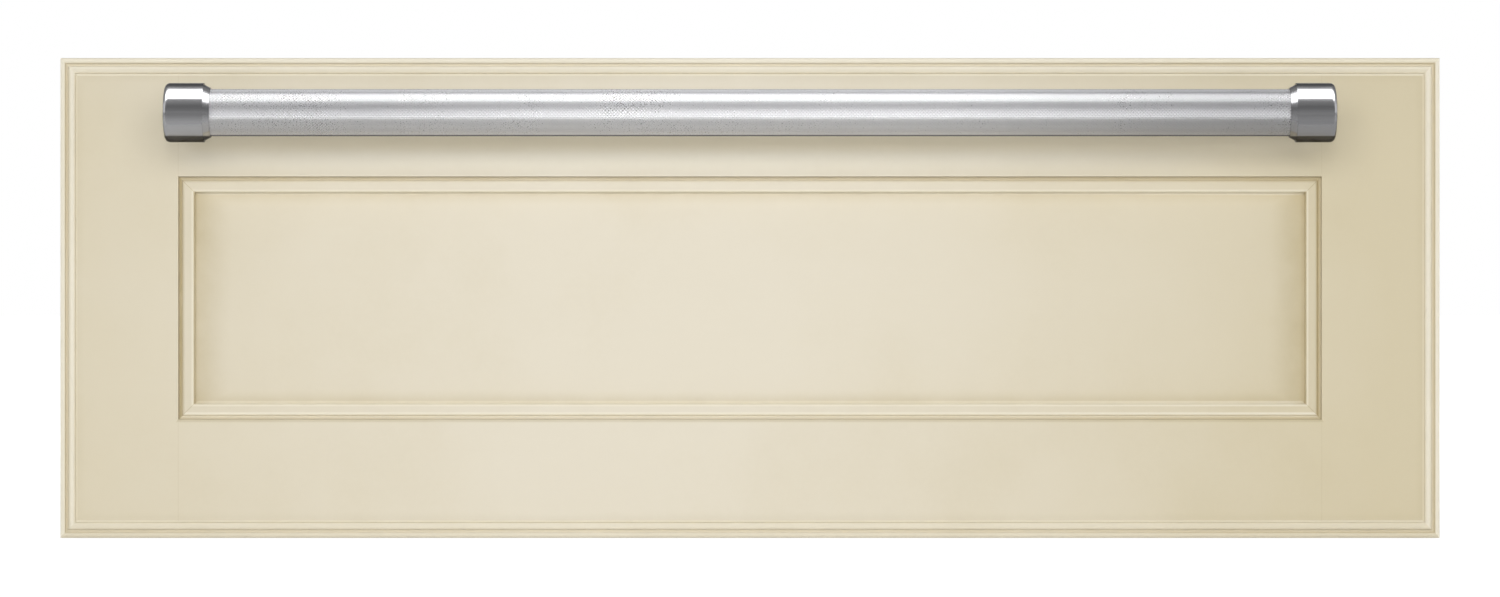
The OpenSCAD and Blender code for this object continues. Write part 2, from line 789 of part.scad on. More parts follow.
module pan() {
    mid_y = (pan_y0 + pan_y1) / 2;
    rim_front_y = shell_back_y + slide_gap;
    rim_x = bracket_x - slide_gap;
    color("silver") difference() {
        union() {
            translate([0, mid_y, pan_z0]) tub(2 * pan_x, pan_len, pan_h + pan_t, pan_r);
            translate([0, (rim_front_y + rim_back_y) / 2, rim_z0]) linear_extrude(pan_t)
                round_rect(2 * rim_x, rim_back_y - rim_front_y, 3);
        }
        translate([0, mid_y, pan_z0 + pan_t])
            tub(2 * (pan_x - pan_t), pan_len - 2 * pan_t, pan_h + cut, pan_r - pan_t);
    }
}

// Side of the carriage: an upright web with a ledge for the rim, a stiffening flange and a front tab
module side_bracket() {
    y0 = shell_back_y;
    y1 = rim_back_y;
    color("lightgray") difference() {
        union() {
            span([-bracket_x, y0, bracket_z0], [-bracket_x + bracket_t, y1, rim_z0]);
            span([-bracket_x, y0, rim_z0 - bracket_t], [-bracket_x + bracket_flange, y1, rim_z0]);
            span([-bracket_x, y0, bracket_z0], [-bracket_x + bracket_flange, y1, bracket_z0 + bracket_t]);
            span([-bracket_x, y0, bracket_z0], [-bracket_x + bracket_t + tab_w, y0 + bracket_t, rim_z0]);
        }
        for (z = tab_screw_zs)
            along_y([-tab_screw_x, y0 - cut, z], screw_hole_r, bracket_t + 2 * cut);
        for (y = rivet_ys)
            along_x([-bracket_x - cut, y, rail_z], rivet_r + fit_gap, bracket_t + 2 * cut);
        for (i = [0 : 3])
            translate([-bracket_x - cut, pan_y0 + pan_len * (i + 0.7) / 4.4, bracket_z0 + 22])
                rotate([90, 0, 90])
                linear_extrude(bracket_t + 2 * cut) slot_x(60, 12);
    }
}
module side_bracket_left() { side_bracket(); }
module side_bracket_right() { mirror([1, 0, 0]) side_bracket(); }

// Carrier behind the pan: an upright web with five slots and a ledge for the rim
module back_bracket() {
    x = bracket_x - bracket_t;
    y1 = rim_back_y;
    z0 = rim_z0 - back_bracket_h;
    slot_pitch = x / 3;
    color("lightgray") difference() {
        union() {
            span([-x, y1 - bracket_t, z0], [x, y1, rim_z0 - bracket_t]);
            span([-x + bracket_flange, y1 - bracket_flange + 2, rim_z0 - bracket_t],
                [x - bracket_flange, y1, rim_z0]);
        }
        for (i = [-2 : 2]) translate([i * slot_pitch, 0, 0]) upright(y1 + cut, bracket_t + 2 * cut)
            translate([0, z0 + 0.45 * back_bracket_h])
                slot_x(0.64 * slot_pitch, 0.26 * back_bracket_h);
    }
}

// Wire rack that stands in the pan on four looped feet
module rack() {
    rx = pan_x - pan_r - 4;
    y0 = pan_y0 + pan_r + 4;
    y1 = pan_y1 - pan_r - 4;
    top_z = pan_z0 + pan_t + rack_h;
    rim_r = rack_rim_d / 2;
    wire_r = rack_wire_d / 2;
    corner = 24;
    wire_z = top_z + rim_r + wire_r - 0.5;
    color("silver") {
        for (y = [y0, y1]) along_x([-rx + corner, y, top_z], rim_r, 2 * (rx - corner));
        for (x = [-rx, rx]) along_y([x, y0 + corner, top_z], rim_r, y1 - y0 - 2 * corner);
        for (sx = [0, 1], sy = [0, 1])
            translate([0, (y0 + y1) / 2, top_z]) mirror([sx, 0, 0]) mirror([0, sy, 0])
            translate([rx - corner, (y1 - y0) / 2 - corner, 0]) rotate_extrude(angle = 90)
                translate([corner, 0]) circle(rim_r);
        for (i = [0 : rack_wires - 1])
            let (x = (i - (rack_wires - 1) / 2) * 2 * (rx - corner) / (rack_wires - 1))
            along_y([x, y0 - rim_r + 0.5, wire_z], wire_r, y1 - y0 + 2 * rim_r - 1);
        for (s = [-1, 1]) along_x([-rx + corner - 4, (y0 + y1) / 2 + s * 90, top_z + rim_r - wire_r],
            wire_r + 0.5, 2 * (rx - corner + 4));
        for (sx = [-1, 1], y = [y0, y1]) translate([sx * (rx - corner - 12), y, pan_z0 + pan_t]) {
            for (s = [-1, 1]) translate([s * 10, 0, 0]) cylinder(r = rim_r - 0.25, h = rack_h);
            along_x([-10, 0, rim_r - 0.25], rim_r - 0.25, 20);
        }
    }
}

// ---------------------------------------------------------------- ball bearing slides

// Sections of the three members: x from the cavity wall towards the pan, y up
module race_grooves(x, z) {
    for (s = [-1, 1]) translate([x, s * z]) circle(ball_r + race_gap);
}

module outer_section() {
    lip = 10;
    difference() {
        union() {
            translate([0, -rail_h / 2]) square([rail_t, rail_h]);
            for (s = [-1, 1]) {
                translate([0, s > 0 ? rail_h / 2 - rail_t : -rail_h / 2]) square([lip, rail_t]);
                translate([lip - 1, s * (rail_h / 2 - rail_t)]) circle(0.9);
            }
        }
        race_grooves(outer_race_x, outer_race_z);
    }
}

module middle_section() {
    lip = 10.4;
    difference() {
        union() {
            translate([middle_x, -middle_z]) square([rail_t, 2 * middle_z]);
            for (s = [-1, 1])
                translate([middle_x, s > 0 ? middle_z - middle_flange_t : -middle_z])
                    square([lip - middle_x, middle_flange_t]);
        }
        race_grooves(outer_race_x, outer_race_z);
        race_grooves(inner_race_x, inner_race_z);
    }
}

module inner_section() {
    root = inner_race_x - 2;
    difference() {
        union() {
            translate([rail_w - rail_t, -inner_z]) square([rail_t, 2 * inner_z]);
            for (s = [-1, 1])
                translate([root, s > 0 ? inner_z - rail_t : -inner_z]) square([rail_w - root, rail_t]);
        }
        race_grooves(inner_race_x, inner_race_z);
    }
}

// Places a slide section at the left wall of the cavity and runs it inwards from y
module left_run(y, len) {
    translate([-cav_x, y + len, rail_z]) rotate([90, 0, 0]) linear_extrude(len) children();
}

module outer_rail() {
    color("silver") difference() {
        left_run(rail_setback, rail_len) outer_section();
        for (y = rivet_ys) along_x([-cav_x - cut, y, rail_z], rivet_r + fit_gap, rail_t + 2 * cut);
        for (y = rail_slot_ys) translate([-cav_x - cut, y, rail_z]) rotate([90, 0, 90])
            linear_extrude(rail_t + 2 * cut) slot_x(16, 5);
    }
}

module middle_rail() {
    color("lightgray") difference() {
        left_run(rail_setback, rail_len) middle_section();
        for (i = [0 : 5]) let (y = rail_setback + rail_len * (i + 0.5) / 6)
            along_x([-cav_x + middle_x - cut, y, rail_z], i % 2 == 0 ? 5.5 : 3, rail_t + 2 * cut);
    }
}

module inner_rail() {
    x = -cav_x + rail_w - rail_t - cut;
    color("silver") difference() {
        left_run(rail_setback, rail_len) inner_section();
        for (y = rivet_ys) along_x([x, y, rail_z], rivet_r + fit_gap, rail_t + 2 * cut);
        for (i = [0.28, 0.72]) translate([x, rail_setback + i * rail_len, rail_z])
            rotate([90, 0, 90]) linear_extrude(rail_t + 2 * cut) slot_x(18, 6);
    }
}

// A thin channel whose two edges hold the balls of one pair of races
module ball_cage(web_x, race_x, race_z) {
    pocket_r = ball_r + 0.15;
    edge_t = 0.6;
    edge_x = race_x + pocket_r + 0.8;
    ys = [for (i = [0 : ball_count - 1]) cage_y + 6 + i * ball_pitch];
    color("goldenrod") difference() {
        left_run(cage_y, cage_len) {
            translate([web_x, -race_z - edge_t / 2]) square([cage_t, 2 * race_z + edge_t]);
            for (s = [-1, 1]) translate([web_x, s * race_z - edge_t / 2]) square([edge_x - web_x, edge_t]);
        }
        for (y = ys, s = [-1, 1]) translate([-cav_x + race_x, y, rail_z + s * race_z - 2])
            cylinder(r = pocket_r, h = 4);
    }
    color("white") for (y = ys, s = [-1, 1]) translate([-cav_x + race_x, y, rail_z + s * race_z])
        sphere(ball_r);
}
module outer_cage() { ball_cage(rail_t + web_gap, outer_race_x, outer_race_z); }
module inner_cage() { ball_cage(inner_cage_x, inner_race_x, inner_race_z); }

module outer_rail_left() { outer_rail(); }
module outer_rail_right() { mirror([1, 0, 0]) outer_rail(); }
module middle_rail_left() { middle_rail(); }
module middle_rail_right() { mirror([1, 0, 0]) middle_rail(); }
module inner_rail_left() { inner_rail(); }
module inner_rail_right() { mirror([1, 0, 0]) inner_rail(); }
module outer_cage_left() { outer_cage(); }
module outer_cage_right() { mirror([1, 0, 0]) outer_cage(); }
module inner_cage_left() { inner_cage(); }
module inner_cage_right() { mirror([1, 0, 0]) inner_cage(); }

// ---------------------------------------------------------------- chassis

module base_plate() {
    color("lightgray") difference() {
        span([-wall_x, 0, 0], [wall_x, chassis_d, sheet_t]);
        for (x = [-1, 1], y = [base_hole_y, chassis_d - base_hole_y])
            translate([x * (wall_x - base_hole_x), y, -cut]) cylinder(r = 4, h = sheet_t + 2 * cut);
    }
}

// Pressed side wall: a tray that opens inwards, with louvre slots above the slide
module side_wall() {
    y1 = chassis_d - sheet_t;
    z1 = chassis_h - sheet_t;
    color("lightgray") difference() {
        span([-wall_x, 0, sheet_t], [-wall_x + wall_flange_w, y1, z1]);
        span([-wall_x + sheet_t, sheet_t, 2 * sheet_t],
            [-wall_x + wall_flange_w + cut, y1 - sheet_t, z1 - sheet_t]);
        for (i = [0 : 9]) translate([-wall_x - cut, chassis_d - 60 - i * louvre_pitch, chassis_h - 45])
            rotate([90, 0, 90]) linear_extrude(sheet_t + 2 * cut) rotate(90) slot_x(36, 4);
        for (y = cover_screw_ys) translate([-wall_x + wall_flange_w / 2, y, z1 - sheet_t - cut])
            cylinder(r = screw_hole_r, h = sheet_t + 2 * cut);
        for (z = back_screw_zs) along_y([-wall_x + wall_flange_w / 2, y1 - sheet_t - cut, z],
            screw_hole_r, sheet_t + 2 * cut);
    }
}
module left_wall() { side_wall(); }
module right_wall() { mirror([1, 0, 0]) side_wall(); }

// Top cover with three pressed ribs
module top_cover() {
    rib_h = 1.6;
    rib_w = 16;
    rib_len = chassis_w - 2 * rib_end;
    color("lightgray") difference() {
        union() {
            span([-wall_x, 0, chassis_h - sheet_t], [wall_x, chassis_d, chassis_h]);
            for (i = [1 : 3]) translate([0, chassis_d * i / 4, chassis_h - cut])
                linear_extrude(cut + rib_h) slot_x(rib_len, rib_w);
        }
        for (i = [1 : 3]) translate([0, chassis_d * i / 4, chassis_h - sheet_t - cut])
            linear_extrude(cut + rib_h) slot_x(rib_len - 2 * sheet_t, rib_w - 2 * sheet_t);
        both_sides() for (y = cover_screw_ys)
            translate([-wall_x + wall_flange_w / 2, y, chassis_h - sheet_t - cut])
                cylinder(r = screw_hole_r, h = sheet_t + 2 * cut);
    }
}

module back_panel() {
    color("lightgray") difference() {
        span([-wall_x, chassis_d - sheet_t, sheet_t], [wall_x, chassis_d, chassis_h - sheet_t]);
        for (i = [0 : 11], row = [0, 1]) upright(chassis_d + cut, sheet_t + 2 * cut)
            translate([60 + i * grille_pitch, chassis_h - 60 - 50 * row]) rotate(90) slot_x(34, 5);
        both_sides() for (z = back_screw_zs)
            along_y([-wall_x + wall_flange_w / 2, chassis_d - sheet_t - cut, z], screw_hole_r,
                sheet_t + 2 * cut);
        along_y([wire_hole_x, chassis_d - sheet_t - cut, wire_hole_z], wire_hole_r, sheet_t + 2 * cut);
        for (p = box_screws) along_y([p.x, chassis_d - sheet_t - cut, p.y], screw_hole_r, sheet_t + 2 * cut);
    }
}

// Frame round the mouth of the cavity, which screws to the face of the cabinet
module front_frame() {
    color("silver") difference() {
        upright(0, frame_t) translate([0, (frame_z0 + frame_z1) / 2])
            round_rect(2 * frame_x, frame_z1 - frame_z0, 2);
        span([-cav_x, -frame_t - cut, cav_z0], [cav_x, cut, cav_z1]);
        for (s = [-1, 1], t = [-1, 1])
            along_y([s * fixing_x, -frame_t - cut, fixing_z + t * fixing_spacing_z / 2],
                fixing_hole_d / 2, frame_t + 2 * cut);
        for (i = [0 : button_count - 1]) upright(cut, frame_t + 2 * cut)
            translate([button_x0 + i * button_pitch, button_z]) round_rect(button_w + 1, button_h + 1, 2);
        for (s = [-1, 1]) along_y([s * boss_x, -frame_t - cut, button_z], boss_r + fit_gap,
            frame_t + 2 * cut);
        for (x = lens_xs) along_y([x, -frame_t - cut, button_z], lens_r + fit_gap, frame_t + 2 * cut);
    }
}

module cavity_floor() {
    color("gainsboro")
        span([-cav_x - sheet_t, 0, cav_z0 - sheet_t], [cav_x + sheet_t, cav_y1, cav_z0]);
}

module cavity_side() {
    color("gainsboro") difference() {
        span([-cav_x - sheet_t, 0, cav_z0], [-cav_x, cav_y1, cav_z1]);
        for (y = rivet_ys) along_x([-cav_x - sheet_t - cut, y, rail_z], rivet_r + fit_gap, sheet_t + 2 * cut);
    }
}
module cavity_left() { cavity_side(); }
module cavity_right() { mirror([1, 0, 0]) cavity_side(); }

module cavity_top() {
    color("gainsboro") span([-cav_x - sheet_t, 0, cav_z1], [cav_x + sheet_t, cav_y1, cav_z1 + sheet_t]);
}

module cavity_back() {
    color("gainsboro") difference() {
        span([-cav_x - sheet_t, cav_y1, cav_z0 - sheet_t],
            [cav_x + sheet_t, cav_y1 + sheet_t, cav_z1 + sheet_t]);
        for (s = [-1, 1]) along_y([s * terminal_x, cav_y1 - cut, element_z], element_r + fit_gap,
            sheet_t + 2 * cut);
        along_y([sensor_x, cav_y1 - cut, sensor_z], sensor_r + fit_gap, sheet_t + 2 * cut);
    }
}

// Three blankets of glass fibre: over the top and sides, under the floor, and behind the cavity
module insulation() {
    top_t = top_pad - 6;
    inner_x = cav_x + sheet_t + slide_gap;
    outer_x = wall_x - sheet_t - slide_gap;
    y0 = sheet_t + pad_gap;
    y1 = chassis_d - 2 * sheet_t - pad_gap;
    board_y1 = board_y + board_t + 24;
    back_t = back_pad - 12;
    color("khaki") {
        difference() {
            span([-outer_x, y0, 2 * sheet_t + slide_gap],
                [outer_x, cav_y1, cav_z1 + sheet_t + slide_gap + top_t]);
            span([-inner_x, y0 - cut, 0], [inner_x, cav_y1 + cut, cav_z1 + sheet_t + slide_gap]);
            span([-fascia_w / 2 - 10, y0 - cut, cav_z1], [fascia_w / 2 + 10, board_y1, chassis_h]);
            both_sides() for (y = rivet_ys) along_x([-outer_x - cut, y, rail_z], 2 * rivet_r,
                outer_x - inner_x + 2 * cut);
        }
        span([-cav_x, y0, sheet_t + slide_gap], [cav_x, cav_y1, cav_z0 - sheet_t - slide_gap]);
        difference() {
            span([-inner_x, cav_y1 + sheet_t + slide_gap, sheet_t + slide_gap],
                 [inner_x, cav_y1 + sheet_t + back_t, cav_z1 + sheet_t + top_t]);
            for (s = [-1, 1]) along_y([s * terminal_x, cav_y1, element_z], element_r + 3, back_pad);
            along_y([sensor_x, cav_y1, sensor_z], 12, back_pad);
            along_y([thermostat_x, cav_y1, thermostat_z], thermostat_r + 2, back_pad);
        }
    }
}

// A rod through points that lie along the axes from one another, with round bends at the corners
module bent_rod(points, bend_r, r) {
    last = len(points) - 1;
    ways = [for (i = [0 : last - 1]) (points[i + 1] - points[i]) / norm(points[i + 1] - points[i])];
    for (i = [0 : last - 1]) {
        from = points[i] + (i > 0 ? bend_r : 0) * ways[i];
        to = points[i + 1] - (i < last - 1 ? bend_r : 0) * ways[i];
        translate(from) rotate([0, acos(ways[i].z), atan2(ways[i].y, ways[i].x)])
            cylinder(r = r, h = norm(to - from));
    }
    for (i = [1 : last - 1]) bend(points[i], ways[i - 1], ways[i], bend_r, r);
}

// A quarter ring that turns from one direction into another at a corner
module bend(corner, from, to, bend_r, r) {
    centre = corner + bend_r * (to - from);
    axis = cross(from, to);
    multmatrix([
        [-to.x, from.x, axis.x, centre.x],
        [-to.y, from.y, axis.y, centre.y],
        [-to.z, from.z, axis.z, centre.z]
    ]) rotate_extrude(angle = 90) translate([bend_r, 0]) circle(r);
}

// One rod with a lobe on each side and both ends through the back of the cavity
module heating_element() {
    lobe_x = element_x - 2.6 * element_bend_r;
    inner_y = element_back_y - 2.6 * element_bend_r;
    half = [
        [terminal_x, terminal_y, 0], [terminal_x, element_back_y, 0], [element_x, element_back_y, 0],
        [element_x, element_front_y, 0], [lobe_x, element_front_y, 0], [lobe_x, inner_y, 0],
        [terminal_x, inner_y, 0], [terminal_x, element_front_y, 0], [0, element_front_y, 0]
    ];
    color("dimgray") translate([0, 0, element_z]) both_sides() {
        bent_rod(half, element_bend_r, element_r);
        along_y([terminal_x, terminal_y, 0], stud_r, stud_len);
        along_y([terminal_x, cav_y1 + sheet_t, 0], element_r + 1.6, 5);
    }
}

// Four bent clips that hold the element off the floor
module element_clips() {
    color("silver") for (p = clip_points) translate([p.x, p.y, cav_z0]) difference() {
        union() {
            translate([-clip_w / 2, -clip_t / 2, 0]) cube([clip_w, clip_t, element_lift + element_r + 2]);
            translate([-clip_w / 2, -clip_t / 2, 0]) cube([clip_w, clip_foot, clip_t]);
        }
        along_y([0, -5, element_lift], element_r + fit_gap, 10);
    }
}

// Slotted cover over the element, standing on its folded sides
module element_guard() {
    rows = 5;
    columns = 14;
    pitch_x = 2 * guard_x / (columns + 0.5);
    pitch_y = (guard_y1 - guard_y0) / rows;
    color("silver") difference() {
        union() {
            span([-guard_x, guard_y0, cav_z0 + guard_h - sheet_t], [guard_x, guard_y1, cav_z0 + guard_h]);
            both_sides()
                span([guard_x - sheet_t, guard_y0, cav_z0], [guard_x, guard_y1, cav_z0 + guard_h]);
        }
        for (i = [0 : columns - 1], j = [0 : rows - 1])
            translate([(i - (columns - 1) / 2) * pitch_x, guard_y0 + (j + 0.5) * pitch_y,
                cav_z0 + guard_h - sheet_t - cut])
            linear_extrude(sheet_t + 2 * cut) rotate(90) slot_x(0.63 * pitch_y, 0.22 * pitch_x);
    }
}

module temperature_sensor() {
    len = sensor_probe + sheet_t + sensor_tail;
    color("silver") {
        along_y([sensor_x, cav_y1 - sensor_probe, sensor_z], sensor_r, len);
        translate([sensor_x, 0, sensor_z]) upright(cav_y1 + sheet_t + 1.5, 1.5) round_rect(18, 12, 2);
    }
}

module limit_thermostat() {
    y = cav_y1 + sheet_t;
    color("dimgray") translate([thermostat_x, 0, thermostat_z]) {
        along_y([0, y, 0], thermostat_r, thermostat_h);
        for (s = [-1, 1]) translate([s * thermostat_tab, 0, 0])
            span([-0.4, y + thermostat_h, -3], [0.4, thermostat_y, 3]);
    }
}

// ---------------------------------------------------------------- controls

module control_fascia() {
    color("black") difference() {
        union() {
            upright(frame_front_y, fascia_t) translate([0, fascia_z0 + fascia_h / 2])
                round_rect(fascia_w, fascia_h, 3);
            for (s = [-1, 1]) along_y([s * boss_x, frame_front_y, button_z], boss_r, board_y - frame_front_y);
        }
        for (i = [0 : button_count - 1]) upright(cut, frame_t + fascia_t + 2 * cut)
            translate([button_x0 + i * button_pitch, button_z])
                round_rect(button_w + 2 * slide_gap, button_h + 2 * slide_gap, 1.8);
        for (x = lens_xs) along_y([x, frame_front_y - fascia_t - cut, button_z], lens_r + fit_gap,
            fascia_t + 2 * cut);
        for (s = [-1, 1]) along_y([s * boss_x, board_y - boss_bite - 0.5, button_z], screw_hole_r,
            boss_bite + 0.5 + cut);
    }
}

module indicator_lenses() {
    color("orange") for (x = lens_xs)
        along_y([x, frame_front_y - fascia_t, button_z], lens_r, fascia_t + frame_t + 4);
}

// A cap that stands proud of the fascia, with a lip behind the frame and a stem towards the switch
module button(i) {
    x = button_x0 + i * button_pitch;
    front_y = frame_front_y - fascia_t - button_proud;
    color("silver") translate([x, 0, 0]) {
        upright(slide_gap + button_lip, slide_gap + button_lip - front_y)
            translate([0, button_z]) round_rect(button_w, button_h, 1.5);
        upright(slide_gap + button_lip, button_lip) translate([0, button_z])
            round_rect(button_w + 3, button_h + 2, 1.5);
        along_y([0, slide_gap + button_lip, button_z], button_stem_r, stem_len);
    }
}
module button_1() { button(0); }
module button_2() { button(1); }
module button_3() { button(2); }
module button_4() { button(3); }

// Circuit board with its switches, relays, transformer and connector
module control_board() {
    y1 = board_y + board_t;
    color("darkgreen") difference() {
        span([-board_x, board_y, board_z0], [board_x, y1, board_z1]);
        for (s = [-1, 1]) along_y([s * boss_x, board_y - cut, button_z], screw_hole_r, board_t + 2 * cut);
    }
    color("black") {
        for (i = [0 : button_count - 1]) translate([button_x0 + i * button_pitch, 0, button_z]) {
            span([-3, board_y - switch_h + 1, -3], [3, board_y, 3]);
            along_y([0, board_y - switch_h, 0], 1.5, 1);
        }
        for (x = relay_xs) translate([x, y1, board_z0 + 3]) cube(relay_size);
        translate([transformer_x, y1, board_z0 + 2]) cube(transformer_size);
        for (x = capacitor_xs) along_y([x, y1, board_z0 + 2 * capacitor_r], capacitor_r, capacitor_len);
        translate([plug_x - plug_w / 2, y1, plug_z - plug_h / 2]) cube([plug_w, plug_d, plug_h]);
        translate([sensor_x - sensor_plug_w / 2, y1, plug_z - plug_h / 2])
            cube([sensor_plug_w, plug_d, plug_h]);
    }
}

// ---------------------------------------------------------------- wiring and mains inlet

module wire(points) {
    bent_rod(points, wire_bend_r, wire_r);
}

// Wires that run over the insulation and down the space behind it
module wiring_harness() {
    plug_y = board_y + board_t + plug_d;
    rise_y = plug_y + 8;
    top_z = chassis_h - sheet_t - 3;
    far_y = chassis_d - sheet_t - 4;
    near_y = far_y - 4;
    low_z = element_z + 30;
    function from_plug(x) = [[x, plug_y, plug_z], [x, rise_y, plug_z], [x, rise_y, top_z]];
    function to_terminal(x) = [
        [x, near_y, low_z], [x, near_y, element_z], [x, terminal_y + stud_len, element_z]
    ];
    function at_thermostat(x) = [[x, near_y, thermostat_z], [x, thermostat_y, thermostat_z]];
    // Supply: from the terminal block to the board
    color("firebrick") for (k = [0, 1]) {
        x = plug_x - 9 + wire_pitch * k;
        y = supply_y + 8 * k;
        lane = wire_hole_x - 3 + wire_pitch * k;
        z = wire_hole_z - 2.5 + 5 * k;
        pole = box_x + pole_pitch * (1 - k);
        wire(concat(from_plug(x), [
            [x, y, top_z], [lane, y, top_z], [lane, far_y, top_z], [lane, far_y, z],
            [lane, pole_y, z], [pole, pole_y, z], [pole, pole_y, block_z + block_h / 2 - 5]
        ]));
    }
    // Element: one wire straight to it, the other by way of the limit thermostat
    color("white") {
        straight_x = plug_x + 10;
        limit_x = plug_x + 4;
        tab_x = thermostat_x + thermostat_tab;
        far_tab_x = thermostat_x - thermostat_tab;
        wire(concat(from_plug(straight_x), [[straight_x, near_y, top_z], [straight_x, near_y, low_z]],
            to_terminal(terminal_x)));
        wire(concat(from_plug(limit_x), [[limit_x, limit_y, top_z], [tab_x, limit_y, top_z],
            [tab_x, near_y, top_z]], at_thermostat(tab_x)));
        wire(concat([[far_tab_x, thermostat_y, thermostat_z], [far_tab_x, near_y, thermostat_z],
            [far_tab_x, near_y, low_z]], to_terminal(-terminal_x)));
    }
    // Sensor
    color("gray") wire([
        [sensor_x, cav_y1 + sheet_t + sensor_tail, sensor_z], [sensor_x, near_y, sensor_z],
        [sensor_x, near_y, top_z], [sensor_x, rise_y, top_z], [sensor_x, rise_y, plug_z],
        [sensor_x, plug_y, plug_z]
    ]);
}

// The hole for the cover's two screws, right through the box
module cover_screw_hole() {
    along_x([box_x - box_w, cover_screw_y, box_z0 + box_h / 2], screw_hole_r, 2 * box_w);
}

// Shallow steel box on the back, open to the rear
module junction_box() {
    x = box_w / 2;
    color("silver") difference() {
        span([box_x - x, chassis_d, box_z0], [box_x + x, chassis_d + box_d - sheet_t, box_z0 + box_h]);
        span([box_x - x + sheet_t, chassis_d + sheet_t, box_z0 + sheet_t],
            [box_x + x - sheet_t, chassis_d + box_d + cut, box_z0 + box_h - sheet_t]);
        translate([box_x, chassis_d + box_d / 2, box_z0 - cut])
            cylinder(r = bushing_r + fit_gap, h = sheet_t + 2 * cut);
        along_y([wire_hole_x, chassis_d - cut, wire_hole_z], wire_hole_r, sheet_t + 2 * cut);
        for (p = box_screws) along_y([p.x, chassis_d - cut, p.y], screw_hole_r, sheet_t + 2 * cut);
        cover_screw_hole();
    }
}

// Cover that slips over the box, with a lip down each side
module junction_cover() {
    x = box_w / 2 + fit_gap;
    y0 = chassis_d + box_d - cover_lip;
    color("silver") difference() {
        span([box_x - x - sheet_t, y0, box_z0],
            [box_x + x + sheet_t, chassis_d + box_d, box_z0 + box_h]);
        span([box_x - x, y0 - cut, box_z0 - cut],
            [box_x + x, chassis_d + box_d - sheet_t, box_z0 + box_h + cut]);
        cover_screw_hole();
    }
}

// Three-way block with clamp screws, on the floor of the junction box
module terminal_block() {
    y0 = chassis_d + sheet_t;
    y1 = y0 + block_d;
    half_w = 1.5 * pole_pitch + 2;
    translate([box_x, 0, block_z]) {
        color("ivory") difference() {
            span([-half_w, y0, -block_h / 2], [half_w, y1, block_h / 2]);
            for (i = [-1 : 1]) translate([pole_pitch * i, 0, 0]) {
                along_y([0, y1 - 3, 0], 3, 3 + cut);
                translate([0, pole_y, -block_h]) cylinder(r = 2, h = 2 * block_h);
            }
            for (s = [-0.5, 0.5]) translate([s * pole_pitch, 0, 0])
                span([-1, y1 - 4, -block_h], [1, y1 + cut, block_h]);
        }
        color("goldenrod") for (i = [-1 : 1]) translate([pole_pitch * i, 0, 0]) difference() {
            along_y([0, y1 - 3, 0], 2.6, 2);
            span([-2, y1 - 1.6, -0.4], [2, y1, 0.4]);
        }
    }
}

// Flanged bush that the supply cable comes in through
module cable_bushing() {
    z1 = box_z0 + sheet_t + 4;
    color("dimgray") translate([box_x, chassis_d + box_d / 2, z1 - bushing_len]) difference() {
        union() {
            cylinder(r = bushing_r, h = bushing_len);
            translate([0, 0, bushing_len - 4 - sheet_t - 3]) cylinder(r = bushing_r + 2, h = 3);
        }
        translate([0, 0, -cut]) cylinder(r = bushing_bore_r, h = bushing_len + 2 * cut);
    }
}

// Screws of the cover, back and junction box, and the rivets of the outer slide members
module chassis_fasteners() {
    color("silver") {
        both_sides() {
            for (y = cover_screw_ys) translate([-wall_x + wall_flange_w / 2, y, chassis_h])
                screw(2 * sheet_t + 1);
            for (z = back_screw_zs) translate([-wall_x + wall_flange_w / 2, chassis_d, z])
                rotate([-90, 0, 0]) screw(2 * sheet_t + 1);
            for (y = rivet_ys) {
                along_x([-cav_x - sheet_t, y, rail_z], rivet_r, sheet_t + rail_t);
                along_x([-cav_x - sheet_t - 0.9, y, rail_z], 1.6 * rivet_r, 0.9);
            }
            translate([-boss_x, board_y + board_t, button_z]) rotate([-90, 0, 0]) screw(board_t + boss_bite);
        }
        for (p = box_screws) translate([p.x, chassis_d + sheet_t, p.y]) rotate([-90, 0, 0])
            screw(2 * sheet_t);
        for (s = [-1, 1])
            translate([box_x + s * (box_w / 2 + fit_gap + sheet_t), cover_screw_y, box_z0 + box_h / 2])
                rotate([0, 90 * s, 0]) screw(2 * sheet_t + 1);
    }
}

// ---------------------------------------------------------------- assembly

base_plate();
left_wall();
right_wall();
top_cover();
back_panel();
front_frame();
cavity_floor();
cavity_left();
cavity_right();
cavity_top();
cavity_back();
insulation();
heating_element();
element_clips();
element_guard();
temperature_sensor();
limit_thermostat();
control_fascia();
indicator_lenses();
control_board();
wiring_harness();
junction_box();
junction_cover();
terminal_block();
cable_bushing();
chassis_fasteners();
outer_rail_left();
outer_rail_right();
middle_rail_left();
middle_rail_right();
inner_rail_left();
inner_rail_right();
outer_cage_left();
outer_cage_right();
inner_cage_left();
inner_cage_right();
left_stile();
right_stile();
top_rail();
bottom_rail();
centre_panel();
panel_moulding();
handle_bar();
left_end_cap();
right_end_cap();
drawer_fasteners();
door_liner();
door_backer();
door_insulation();
door_seal();
vent_slider();
pan();
side_bracket_left();
side_bracket_right();
back_bracket();
rack();
button_1();
button_2();
button_3();
button_4();
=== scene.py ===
"""Looks of the warming drawer: its finishes, its finer pieces, and the studio that it stands in."""

import logging
import math
from abc import ABC, abstractmethod
from dataclasses import dataclass
from enum import Enum
from typing import Any, ClassVar, Iterable, Mapping, Sequence, Union

import bmesh
import bpy
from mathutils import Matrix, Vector, noise


